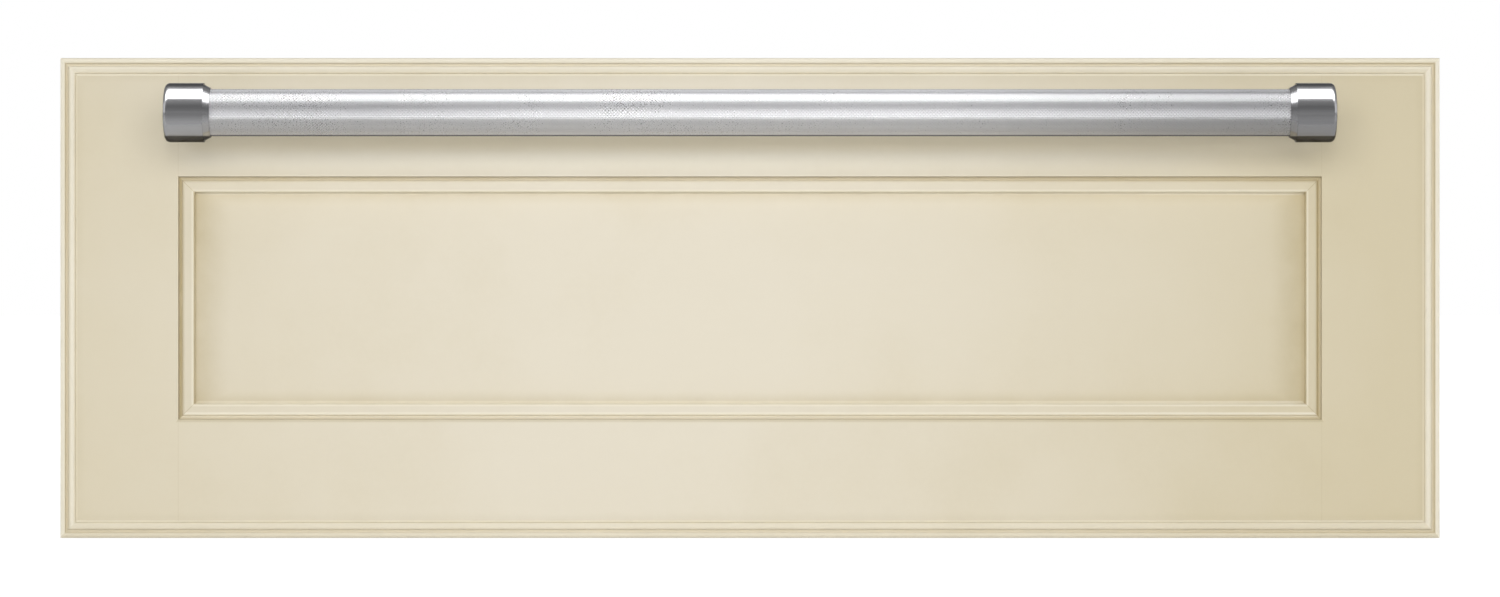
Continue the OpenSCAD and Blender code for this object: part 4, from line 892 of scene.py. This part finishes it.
def dress(target: bpy.types.Object, *finishes: Finish) -> bpy.types.Object:
    """Gives an object its finishes.

    Args:
        target: The object.
        *finishes: Its finishes, in the order of its slots.

    Returns:
        The object.
    """
    target.data.materials.clear()
    for finish in finishes:
        target.data.materials.append(finish.material())
    return target


class Shaper:
    """Makes the meshes of the finer pieces."""

    @staticmethod
    def piece(
        name: str, points: Iterable[Sequence[float]], faces: Iterable[Sequence[int]], smooth: bool = False
    ) -> bpy.types.Object:
        """Makes an object from points and faces.

        Args:
            name: The piece's name.
            points: Its points in metres.
            faces: Its faces, each as the numbers of its points.
            smooth: Whether it is shaded smooth.

        Returns:
            The object.
        """
        mesh = bpy.data.meshes.new(name)
        mesh.from_pydata([tuple(p) for p in points], [], [tuple(f) for f in faces])
        mesh.update()
        if smooth:
            mesh.shade_smooth()
        return placed(name, mesh)

    @staticmethod
    def rounded_path(points: Sequence[Point], turn: float, steps: int = 6) -> list[Vector]:
        """Rounds each corner of a path.

        Args:
            points: The path's corners.
            turn: The radius of each bend.
            steps: The points on each bend, less one.

        Returns:
            The rounded path.
        """
        path = [Vector(points[0])]
        for before, at, after in zip(points, points[1:], points[2:]):
            here = Vector(at)
            back, on = (Vector(before) - here).normalized(), (Vector(after) - here).normalized()
            half = back.angle(on) / 2
            reach = turn / math.tan(half)
            middle = here + (back + on).normalized() * (turn / math.sin(half))
            start, end = here + back * reach - middle, here + on * reach - middle
            for k in range(steps + 1):
                path.append(middle + start.normalized().slerp(end.normalized(), k / steps) * turn)
        path.append(Vector(points[-1]))
        return path

    @classmethod
    def sweep(
        cls, name: str, path: Sequence[Vector], section: Sequence[Span], closed: bool, side: Vector | None = None
    ) -> bpy.types.Object:
        """Draws a section along a path.

        Args:
            name: The piece's name.
            path: The points of the path.
            section: The section's points, round it.
            closed: Whether the path's end meets its start.
            side: Where the section's first axis points at the path's start.

        Returns:
            The object.
        """
        count = len(path)
        points: list[Vector] = []
        for k, at in enumerate(path):
            ahead = path[(k + 1) % count] if closed or k + 1 < count else at
            behind = path[k - 1] if closed or k else at
            way = (ahead - behind).normalized()
            if side is None:
                side = way.orthogonal().normalized()
            side = (side - way * side.dot(way)).normalized()
            up = way.cross(side)
            points += [at + side * u + up * v for u, v in section]
        n = len(section)
        rings = count if closed else count - 1
        faces = [
            (r * n + k, r * n + (k + 1) % n, (r + 1) % count * n + (k + 1) % n, (r + 1) % count * n + k)
            for r in range(rings)
            for k in range(n)
        ]
        if not closed:
            faces += [tuple(range(n))[::-1], tuple(range((count - 1) * n, count * n))]
        return cls.piece(name, points, faces, smooth=True)

    @classmethod
    def round_rod(cls, name: str, path: Sequence[Vector], radius: float, sides: int = 14) -> bpy.types.Object:
        """Makes a rod along a path.

        Args:
            name: The piece's name.
            path: The points of its middle.
            radius: The rod's radius.
            sides: The faces round it.

        Returns:
            The object.
        """
        turns = [2 * math.pi * k / sides for k in range(sides)]
        return cls.sweep(name, path, [(radius * math.cos(a), radius * math.sin(a)) for a in turns], False)

    @staticmethod
    def join(name: str, pieces: Sequence[bpy.types.Object]) -> bpy.types.Object:
        """Joins dressed pieces into one object.

        Args:
            name: The joined piece's name.
            pieces: The pieces, which go.

        Returns:
            The object.
        """
        whole = bmesh.new()
        materials: list[bpy.types.Material] = []
        for piece in pieces:
            first = len(whole.faces)
            whole.from_mesh(piece.data)
            whole.faces.ensure_lookup_table()
            slots = []
            for material in piece.data.materials:
                if material not in materials:
                    materials.append(material)
                slots.append(materials.index(material))
            for face in whole.faces[first:]:
                face.material_index = slots[face.material_index]
        mesh = bpy.data.meshes.new(name)
        whole.to_mesh(mesh)
        whole.free()
        for material in materials:
            mesh.materials.append(material)
        for piece in pieces:
            bpy.data.objects.remove(piece)
        return placed(name, mesh)


@dataclass
class Blanket:
    """Glass fibre that fills the space of a solid, with soft edges and a lumpy skin."""

    name: str
    node: str
    voxel: float = 6.0
    slack: float = 0.35
    lump: float = 1.3
    broad_lump: float = 46.0
    fine_lump: float = 13.0
    fill: float = 0.85

    def make(self) -> bpy.types.Object:
        """Makes the blanket from its solid.

        Returns:
            The object.
        """
        block = placed(self.name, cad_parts[self.node].data.copy())
        remesh = block.modifiers.new("fibres", "REMESH")
        remesh.mode = "VOXEL"
        remesh.voxel_size = self.voxel * MM
        graph = bpy.context.evaluated_depsgraph_get()
        mesh = bpy.data.meshes.new_from_object(block.evaluated_get(graph))
        block.modifiers.clear()
        block.data = mesh
        mesh.materials.clear()
        mesh.shade_smooth()
        moved = []
        for point, normal in zip(mesh.vertices, mesh.vertex_normals):
            broad = noise.noise(point.co / (self.broad_lump * MM))
            fine = noise.noise(point.co / (self.fine_lump * MM))
            depth = self.slack + self.lump * min(1.0, max(0.0, 0.5 + 0.55 * broad + 0.3 * fine))
            moved.append(point.co - normal.vector * (depth * MM))
        for point, place in zip(mesh.vertices, moved):
            point.co = place
        mesh.update()
        return block


# ------------------------------------------------------------------------------------- this drawer's finishes

PAINT = GlazedPaint("glazed_cream_paint")
CAP = TurnedCap("brushed_cap", tone(192, 192, 194), tone(150, 150, 152), Along.X, 0.17, 0.8, 0.05, 0.55, 0.4)
STAINLESS = BrushedMetal("stainless_sheet", tone(200, 200, 198), tone(160, 160, 158), Along.X, 0.3, 0.4)
STAINLESS_Y = BrushedMetal("stainless_sides", tone(200, 200, 198), tone(160, 160, 158), Along.Y, 0.3, 0.4)
FRAME_STEEL = BrushedMetal("front_frame_steel", tone(190, 190, 188), tone(146, 146, 144), Along.X, 0.32, 0.5)
RAIL_STEEL = BrushedMetal("slide_zinc", tone(186, 190, 198), tone(140, 146, 156), Along.Y, 0.28, 0.35)
SCREW_STEEL = BrushedMetal("plated_screws", tone(196, 196, 202), tone(120, 120, 126), Along.X, 0.3, 0.3)
CLIP_STEEL = BrushedMetal("clip_zinc", tone(196, 194, 178), tone(140, 138, 122), Along.X, 0.34, 0.3)
CAGE_BRASS = BrushedMetal("stamped_brass", tone(206, 178, 104), tone(150, 122, 60), Along.Y, 0.3, 0.35)
RACK_CHROME = BrushedMetal("rack_chrome", tone(222, 222, 224), tone(190, 190, 194), Along.X, 0.1, 0.12, 0.1, 0.0)
BUTTON_METAL = BrushedMetal("button_anodised", tone(196, 196, 200), tone(150, 150, 156), Along.X, 0.32, 0.4)
ZINC = ZincSheet("galvanised_sheet")
HOT = HotSteel("element_sheath")
BLACK = Moulded("moulded_black")
ENAMEL = Moulded("black_enamel", tone(44, 44, 46), tone(66, 66, 68), 0.34, 0.3)
NYLON = Moulded("natural_nylon", tone(222, 216, 194), tone(200, 190, 160), 0.42, 0.3)
BUSH = Moulded("black_nylon", tone(30, 30, 31), tone(54, 54, 56), 0.42, 0.4)
PHENOLIC = Moulded("phenolic", tone(44, 40, 38), tone(66, 58, 52), 0.4, 0.35)
SILICONE = Moulded("silicone_seal", tone(66, 66, 68), tone(98, 98, 98), 0.62, 0.6, 0.3)
AMBER = Lens("amber_dome")
BOARD = SolderMask("solder_mask")
WOOL = GlassWool("glass_wool")
RED_WIRE = Sleeve("red_sleeve")
WHITE_WIRE = Sleeve("white_sleeve", tone(226, 222, 210), tone(176, 170, 154))
GREY_WIRE = Sleeve("grey_sleeve", tone(120, 122, 124), tone(78, 80, 82))


# ------------------------------------------------------------------------------------- sub-assemblies


@dataclass
class Assembly:
    """A group of pieces that are made and finished together."""

    finishes: ClassVar[Mapping[str, Finish]] = {}

    def add(self, piece: bpy.types.Object, body: str, slot: str, *nodes: str) -> None:
        """Hangs a made piece on its body.

        Args:
            piece: The piece, with its finish.
            body: The CAD body that it moves with.
            slot: The record's material slot, which is not used.
            *nodes: The CAD nodes that it stands for.
        """
        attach(piece, body)
        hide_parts(*nodes)
        log.info("%s rides on %s", piece.name, body)

    def make(self) -> None:
        """Makes the pieces that aren't the CAD's own, which most groups have none of."""

    def build(self) -> None:
        """Makes the group's own pieces, and puts its finishes on the CAD nodes that show."""
        self.make()
        for node, finish in self.finishes.items():
            dress(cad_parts[node], finish)
            log.info("%s: %s", node, finish.name)


@dataclass
class WoodenFront(Assembly):
    """The framed and panelled wooden front."""

    finishes = dict.fromkeys(
        ("left_stile", "right_stile", "top_rail", "bottom_rail", "centre_panel", "panel_moulding"), PAINT
    )


@dataclass
class BarHandle(Assembly):
    """The knurled bar between its two end caps."""

    finishes = {"left_end_cap": CAP, "right_end_cap": CAP}

    root_r: float = 12.57
    bore_r: float = 10.7
    neck_r: float = 12.6
    neck_gap: float = 0.3
    half_knurl: float = 292.0
    half_tube: float = 309.4
    columns: int = 316
    rows: int = 43

    def _spot(self, x: float, row: int, radius: float) -> Point:
        """Gives the point in metres at a length along the bar, a row round it, and a radius."""
        turn = math.pi * row / self.rows
        return x * MM, (BAR_Y + radius * math.cos(turn)) * MM, (BAR_Z + radius * math.sin(turn)) * MM

    def _knurled_bar(self) -> bpy.types.Object:
        """Makes the tube with its rows of cut diamonds, each a low pyramid.

        Returns:
            The bar, without its finish.
        """
        around, across = 2 * self.rows, 2 * self.columns
        step = 2 * self.half_knurl / across
        points: list[Point] = []
        faces: list[tuple[int, ...]] = []
        number: dict[tuple[int, int], int] = {}

        def corner(i: int, j: int) -> int:
            """Gives the number of the point where two grooves cross, at a column and row.

            Args:
                i: The column.
                j: The row, which may be past either end of the count.

            Returns:
                The point's number. The point is added when it is first asked for.
            """
            key = (i, j % around)
            if key not in number:
                number[key] = len(points)
                points.append(self._spot(i * step - self.half_knurl, j % around, self.root_r))
            return number[key]

        for i in range(1, across):
            for j in range(i % 2, around, 2):
                rim = [corner(i - 1, j), corner(i, j - 1), corner(i + 1, j), corner(i, j + 1)]
                points.append(self._spot(i * step - self.half_knurl, j, BAR_R))
                faces += [(rim[k], rim[(k + 1) % 4], len(points) - 1) for k in range(4)]
        bores: list[Sequence[int]] = []
        for end, inward in ((0, 1), (across, -1)):
            ring = [corner(end, j) for j in range(around)]
            for j in range(end % 2, around, 2):
                mid = corner(end + inward, j)
                pair = [(ring[j - 1], mid, ring[j]), (ring[j], mid, ring[(j + 1) % around])]
                faces += pair if inward > 0 else [t[::-1] for t in pair]
            neck, tip = -inward * (self.half_knurl + self.neck_gap), -inward * self.half_tube
            loops: list[Sequence[int]] = [ring]
            for x, radius in ((neck, self.neck_r), (tip, self.neck_r), (tip, self.bore_r)):
                loops.append(range(len(points), len(points) + around))
                points += [self._spot(x, row, radius) for row in range(around)]
            for near, far in zip(loops, loops[1:]):
                for j in range(around):
                    k = (j + 1) % around
                    quad = (near[j], near[k], far[k], far[j])
                    faces.append(quad[::-1] if inward > 0 else quad)
            bores.append(loops[-1])
        left, right = bores
        for j in range(around):
            k = (j + 1) % around
            faces.append((left[j], left[k], right[k], right[j]))
        bar = Shaper.piece("knurled_bar", points, faces)
        whole = bmesh.new()
        whole.from_mesh(bar.data)
        bmesh.ops.recalc_face_normals(whole, faces=whole.faces)
        whole.to_mesh(bar.data)
        whole.free()
        return bar

    def make(self) -> None:
        """Makes the bar."""
        steel = KnurledSteel("knurled_bar_steel", self.half_knurl / self.columns, self.rows)
        self.add(dress(self._knurled_bar(), steel), "drawer", "knurled_steel", "handle_bar")


@dataclass
class DoorShell(Assembly):
    """The pressed door behind the wood, with its blanket, seal and vent slider."""

    finishes = {
        "door_liner": STAINLESS, "door_backer": ZINC, "drawer_fasteners": SCREW_STEEL, "vent_slider": ENAMEL
    }

    seal_x: float = 352.0
    seal_low: float = 7.0
    seal_high: float = 207.0
    seal_turn: float = 9.0
    seal_y: float = -7.8
    foot_w: float = 4.9
    foot_t: float = 1.5
    lip: float = 0.5
    neck_z: float = 2.0
    bulb_r: float = 3.8
    bulb_z: float = 2.1
    rib: float = 0.16
    bulb_steps: int = 36
    turn_steps: int = 8

    def _seal_section(self) -> list[Span]:
        """Gives the seal's section: a foot with thin lips, and a bulb with fine ribs.

        Returns:
            The section's points, in millimetres.
        """
        foot = [
            (-self.foot_w, 0.0), (-self.foot_w, self.lip), (-self.foot_w + self.lip, self.foot_t * 0.7),
            (-self.bulb_r - 0.1, self.foot_t), (-self.bulb_r + 0.35, self.neck_z),
        ]
        bulb = []
        for k in range(2, self.bulb_steps - 1):
            angle = math.pi * (1 - k / self.bulb_steps)
            reach = self.bulb_r - self.rib * (k % 2)
            bulb.append((reach * math.cos(angle), self.bulb_z + reach * math.sin(angle)))
        return foot + bulb + [(-u, v) for u, v in reversed(foot)]

    def _seal(self) -> bpy.types.Object:
        """Makes the closed ring of silicone round the mouth.

        Returns:
            The seal, without its finish.
        """
        path: list[Vector] = []
        x, low, high = self.seal_x - self.seal_turn, self.seal_low + self.seal_turn, self.seal_high - self.seal_turn
        for quarter, (cx, cz) in enumerate(((x, high), (-x, high), (-x, low), (x, low))):
            for k in range(self.turn_steps + 1):
                turn = math.pi / 2 * (quarter + k / self.turn_steps)
                path.append(Vector((
                    (cx + self.seal_turn * math.cos(turn)) * MM, self.seal_y * MM,
                    (cz + self.seal_turn * math.sin(turn)) * MM,
                )))
        section = [(-u * MM, v * MM) for u, v in self._seal_section()]
        return Shaper.sweep("bulb_seal", path, section, True, Vector((-1.0, 0.0, 0.0)))

    def make(self) -> None:
        """Makes the seal and the blanket."""
        self.add(dress(self._seal(), SILICONE), "drawer", "seal_silicone", "door_seal")
        blanket = Blanket("door_blanket", "door_insulation").make()
        self.add(dress(blanket, WOOL), "drawer", "fibre", "door_insulation")


@dataclass
class PanAndRack(Assembly):
    """The drawn pan, what carries it, and the wire rack in it."""

    finishes = {
        "pan": STAINLESS, "side_bracket_left": ZINC, "side_bracket_right": ZINC, "back_bracket": ZINC,
        "rack": RACK_CHROME,
    }


@dataclass
class BallSlides(Assembly):
    """The two telescopic slides."""

    finishes = {
        f"{piece}_{side}": finish
        for side in ("left", "right")
        for piece, finish in (
            ("outer_rail", RAIL_STEEL), ("middle_rail", RAIL_STEEL), ("inner_rail", RAIL_STEEL),
            ("outer_cage", CAGE_BRASS), ("inner_cage", CAGE_BRASS),
        )
    }


@dataclass
class Chassis(Assembly):
    """The outer case and the heated cavity in it."""

    finishes = {
        **dict.fromkeys(("base_plate", "left_wall", "right_wall", "top_cover", "back_panel"), ZINC),
        **dict.fromkeys(("cavity_floor", "cavity_top", "cavity_back"), STAINLESS),
        **dict.fromkeys(("cavity_left", "cavity_right"), STAINLESS_Y),
        "front_frame": FRAME_STEEL, "chassis_fasteners": SCREW_STEEL,
    }

    def make(self) -> None:
        """Makes the blankets round the cavity."""
        blanket = Blanket("cavity_blanket", "insulation").make()
        self.add(dress(blanket, WOOL), "cabinet", "fibre", "insulation")


@dataclass
class Heater(Assembly):
    """The element under its guard, with its sensor and thermostat."""

    finishes = {
        "heating_element": HOT, "element_clips": CLIP_STEEL, "element_guard": STAINLESS_Y,
        "temperature_sensor": STAINLESS_Y, "limit_thermostat": PHENOLIC,
    }


@dataclass
class Controls(Assembly):
    """The fascia over the mouth of the cavity, with its buttons, lamps and board."""

    finishes = {
        "control_fascia": BLACK, "indicator_lenses": AMBER, "control_board": BOARD,
        **{f"button_{k}": BUTTON_METAL for k in (1, 2, 3, 4)},
    }


@dataclass
class MainsInlet(Assembly):
    """The box on the back where the supply comes in."""

    finishes = {
        "junction_box": ZINC, "junction_cover": ZINC, "terminal_block": NYLON, "cable_bushing": BUSH
    }


@dataclass
class Wiring(Assembly):
    """The sleeved wires between the board, the heater and the inlet, in millimetres."""

    radius: float = 1.5
    turn: float = 4.0
    board_y: float = 18.6
    rise_y: float = 26.6
    plug_z: float = 212.0
    top_z: float = 225.0
    far_y: float = 555.0
    near_y: float = 551.0
    inlet_y: float = 566.5
    inlet_z: float = 86.0
    low_z: float = 51.5
    element_plug_x: float = 117.0
    element: Point = (40.0, 546.0, 21.5)
    limit_plug_x: float = 111.0
    limit_across_y: float = 300.0
    limit: Point = (-128.5, 545.0, 171.5)
    limit_return_x: float = -135.5
    sensor: Point = (132.0, 543.0, 191.5)

    def _from_board(self, x: float) -> list[Point]:
        """Gives a wire's way from its socket on the board up to the space over the insulation."""
        return [(x, self.board_y, self.plug_z), (x, self.rise_y, self.plug_z), (x, self.rise_y, self.top_z)]

    def routes(self) -> dict[str, tuple[Finish, list[Point]]]:
        """Lays out the wires.

        Returns:
            Each wire's finish and the corners of its route, by its name.
        """
        top, back, low = self.top_z, self.near_y, self.low_z
        found: dict[str, tuple[Finish, list[Point]]] = {}
        for k in (0, 1):
            x, y, z = 98.0 + 6 * k, 200.0 + 8 * k, 109.5 + 5 * k
            lane, pole = -203.0 + 6 * k, -230.0 + 17 * (1 - k)
            found[f"supply_wire_{k + 1}"] = (RED_WIRE, [
                *self._from_board(x), (x, y, top), (lane, y, top), (lane, self.far_y, top),
                (lane, self.far_y, z), (lane, self.inlet_y, z), (pole, self.inlet_y, z),
                (pole, self.inlet_y, self.inlet_z),
            ])
        plug_x, (x, y, z) = self.element_plug_x, self.element
        found["element_wire"] = (WHITE_WIRE, [
            *self._from_board(plug_x), (plug_x, back, top), (plug_x, back, low),
            (x, back, low), (x, back, z), (x, y, z),
        ])
        to_element = [(-x, back, low), (-x, back, z), (-x, y, z)]
        plug_x, across_y, (x, y, z) = self.limit_plug_x, self.limit_across_y, self.limit
        found["limit_wire"] = (WHITE_WIRE, [
            *self._from_board(plug_x), (plug_x, across_y, top), (x, across_y, top),
            (x, back, top), (x, back, z), (x, y, z),
        ])
        x = self.limit_return_x
        found["return_wire"] = (WHITE_WIRE, [(x, y, z), (x, back, z), (x, back, low), *to_element])
        x, y, z = self.sensor
        found["sensor_wire"] = (GREY_WIRE, [(x, y, z), (x, back, z), (x, back, top), *self._from_board(x)[::-1]])
        return found

    def make(self) -> None:
        """Makes the wires."""
        wires = []
        for name, (finish, corners) in self.routes().items():
            path = Shaper.rounded_path([tuple(c * MM for c in p) for p in corners], self.turn * MM)
            wires.append(dress(Shaper.round_rod(name, path, self.radius * MM), finish))
        self.add(Shaper.join("sleeved_wires", wires), "cabinet", "wire_sleeve", "wiring_harness")


# ------------------------------------------------------------------------------------- studio


@dataclass
class Card:
    """A wide grey card that only polished metal shows, from one edge (y, z) to the other in metres."""

    name: str
    start: Span
    end: Span
    along: Along
    levels: tuple[Span, ...]
    half_w: float = 5.0

    def stand(self) -> None:
        """Stands the card, which goes from each grey level to the next at its part of the way."""
        w = self.half_w
        corners = [(-w, *self.start), (w, *self.start), (w, *self.end), (-w, *self.end)]
        card = Shaper.piece(self.name, corners, [(0, 1, 2, 3)])
        graph = Graph.named(self.name)
        upright = self.along is Along.Z
        low, high = self.start[upright], self.end[upright]
        way = (graph.xyz()[1 + upright] - low / MM) / ((high - low) / MM)
        stops = [(at, grey(level)) for at, level in self.levels]
        ramp = graph.node("ValToRGB", {"stops": stops}, {"Fac": way})
        graph.close(graph.node("Emission", sockets={"Color": ramp}))
        card.data.materials.append(graph.owner)
        card.visible_camera = card.visible_diffuse = card.visible_shadow = False
        card.visible_transmission = card.visible_volume_scatter = False
        log.info("%s stands", self.name)


@dataclass
class Lamp:
    """A lamp that the camera doesn't see, in metres.

    It is a soft box of some size, or where it has a spread in degrees, a round beam.
    """

    name: str
    place: Point
    look: Point
    watts: float
    size: Span = (1.0, 1.0)
    spread: float = 0.0
    for_metal: bool = False

    def hang(self) -> None:
        """Hangs the lamp, which either metal shows or paint is lit by."""
        light = bpy.data.lights.new(self.name, "SPOT" if self.spread else "AREA")
        if self.spread:
            light.spot_size, light.spot_blend = math.radians(self.spread), 1.0
            light.shadow_soft_size = 0.3
        else:
            light.shape = "RECTANGLE"
            light.size, light.size_y = self.size
        light.energy = self.watts
        made = placed(self.name, light)
        made.location = self.place
        made.rotation_euler = (Vector(self.look) - Vector(self.place)).to_track_quat("-Z", "Y").to_euler()
        made.visible_camera = False
        made.visible_glossy, made.visible_diffuse = self.for_metal, not self.for_metal
        log.info("%s hangs", self.name)


@dataclass
class Studio:
    """The floor, the lamps and the camera, which aren't part of the object."""

    floor_z: float = -15.4
    floor_reach: float = 40.0
    eye_y: float = -3291.8
    eye_z: float = 116.2
    lens: float = 142.05
    cards: tuple[Card, ...] = (
        Card("front_card", (-2.3, -0.012), (-2.3, 3.3), Along.Z, (
            (0.0, 0.36), (0.068, 0.36), (0.21, 0.26), (0.35, 0.22),
            (0.53, 0.31), (0.81, 0.42), (0.9, 0.6), (1.0, 1.0),
        )),
        Card("low_card", (-2.3, -0.012), (-0.3, -0.012), Along.Y, (
            (0.0, 0.36), (0.57, 0.35), (0.725, 0.4), (0.83, 0.46), (0.945, 0.57), (1.0, 0.63),
        )),
        Card("top_card", (0.36, 1.5), (2.8, 1.7), Along.Y, ((0.0, 0.4), (1.0, 0.3))),
    )
    lamps: tuple[Lamp, ...] = (
        Lamp("overhead_box", (0.0, -0.39, 1.32), (0.0, -0.39, 0.0), 25.5, (3.4, 0.98), for_metal=True),
        Lamp("front_box", (0.0, -4.3, 1.13), (0.0, 0.0, 0.116), 88.0, (3.8, 1.6)),
        Lamp("centre_spot", (-0.06, -3.6, 0.95), (-0.06, 0.0, 0.116), 45.0, spread=16.0),
        Lamp("top_box", (0.0, 0.45, 1.5), (0.0, 0.4, 0.0), 8.0, (2.0, 0.9)),
        Lamp("left_box", (-2.4, -0.55, 0.35), (0.0, -0.1, 0.1), 7.5, (0.9, 1.2)),
        Lamp("left_rear_box", (-2.3, 2.3, 0.9), (0.0, 0.3, 0.1), 40.0, (1.6, 1.2)),
        Lamp("right_box", (2.4, -0.55, 0.35), (0.0, -0.1, 0.1), 9.5, (0.9, 1.2)),
        Lamp("right_rear_box", (2.3, 2.3, 0.9), (0.0, 0.3, 0.1), 40.0, (1.6, 1.2)),
    )

    def floor(self) -> None:
        """Lays a pale floor that reads as white from where the camera is."""
        r = self.floor_reach
        corners = [(x, y, self.floor_z * MM) for x, y in ((-r, -r), (r, -r), (r, r), (-r, r))]
        plane = Shaper.piece("floor", corners, [(0, 1, 2, 3)])
        graph = Graph.named("floor_card")
        pale = graph.node("BsdfDiffuse", sockets={"Color": grey(0.72)})
        glow = graph.node("Emission", sockets={"Color": grey(0.2)})
        shadow = graph.node("BsdfDiffuse", sockets={"Color": grey(0.3)})
        x, y, _ = graph.xyz()
        distance = (x * x + y * y) ** 0.5
        white = graph.node("Emission", sockets={"Color": distance.rise(900.0, 2600.0, 0.87, 1.0)})
        plain = graph.node("AddShader", sockets={0: pale, 1: glow})
        seen = graph.node("AddShader", sockets={0: white, 1: shadow})
        by_camera = graph.node("LightPath", out="Is Camera Ray")
        graph.close(graph.node("MixShader", sockets={0: by_camera, 1: plain, 2: seen}))
        plane.data.materials.append(graph.owner)

    def world(self) -> None:
        """Surrounds the object with plain soft light and a white ground."""
        world = bpy.data.worlds.new("studio")
        bpy.context.scene.world = world
        graph = Graph(world)
        camera, glossy, through = (
            graph.node("LightPath", out=f"Is {ray} Ray") for ray in ("Camera", "Glossy", "Transmission")
        )
        soft = graph.node("Background", sockets={"Color": WHITE, "Strength": 0.2})
        ground = graph.node("Background", sockets={"Color": WHITE})
        seen = camera.most(glossy).most(through)
        graph.close(graph.node("MixShader", sockets={0: seen, 1: soft, 2: ground}), "ShaderNodeOutputWorld")

    def camera(self) -> None:
        """Puts the camera square before the front, as in the photograph."""
        data = bpy.data.cameras.new("camera")
        data.lens = self.lens
        data.sensor_width = 36.0
        made = placed("camera", data)
        made.location = (0.0, self.eye_y * MM, self.eye_z * MM)
        made.rotation_euler = (math.pi / 2, 0.0, 0.0)
        bpy.context.scene.camera = made
        bpy.context.scene.view_settings.view_transform = "Standard"

    def build(self) -> None:
        """Sets up the studio."""
        self.camera()
        self.world()
        self.floor()
        for card in self.cards:
            card.stand()
        for lamp in self.lamps:
            lamp.hang()
        log.info("studio ready")


def main() -> None:
    """Builds the studio and the drawer."""
    logging.basicConfig(level=logging.INFO, format="%(name)s: %(message)s")
    Studio().build()
    for part in (
        WoodenFront(), BarHandle(), DoorShell(), PanAndRack(), BallSlides(), Chassis(), Heater(),
        Controls(), MainsInlet(), Wiring(),
    ):
        part.build()


if __name__ == "__main__":
    main()
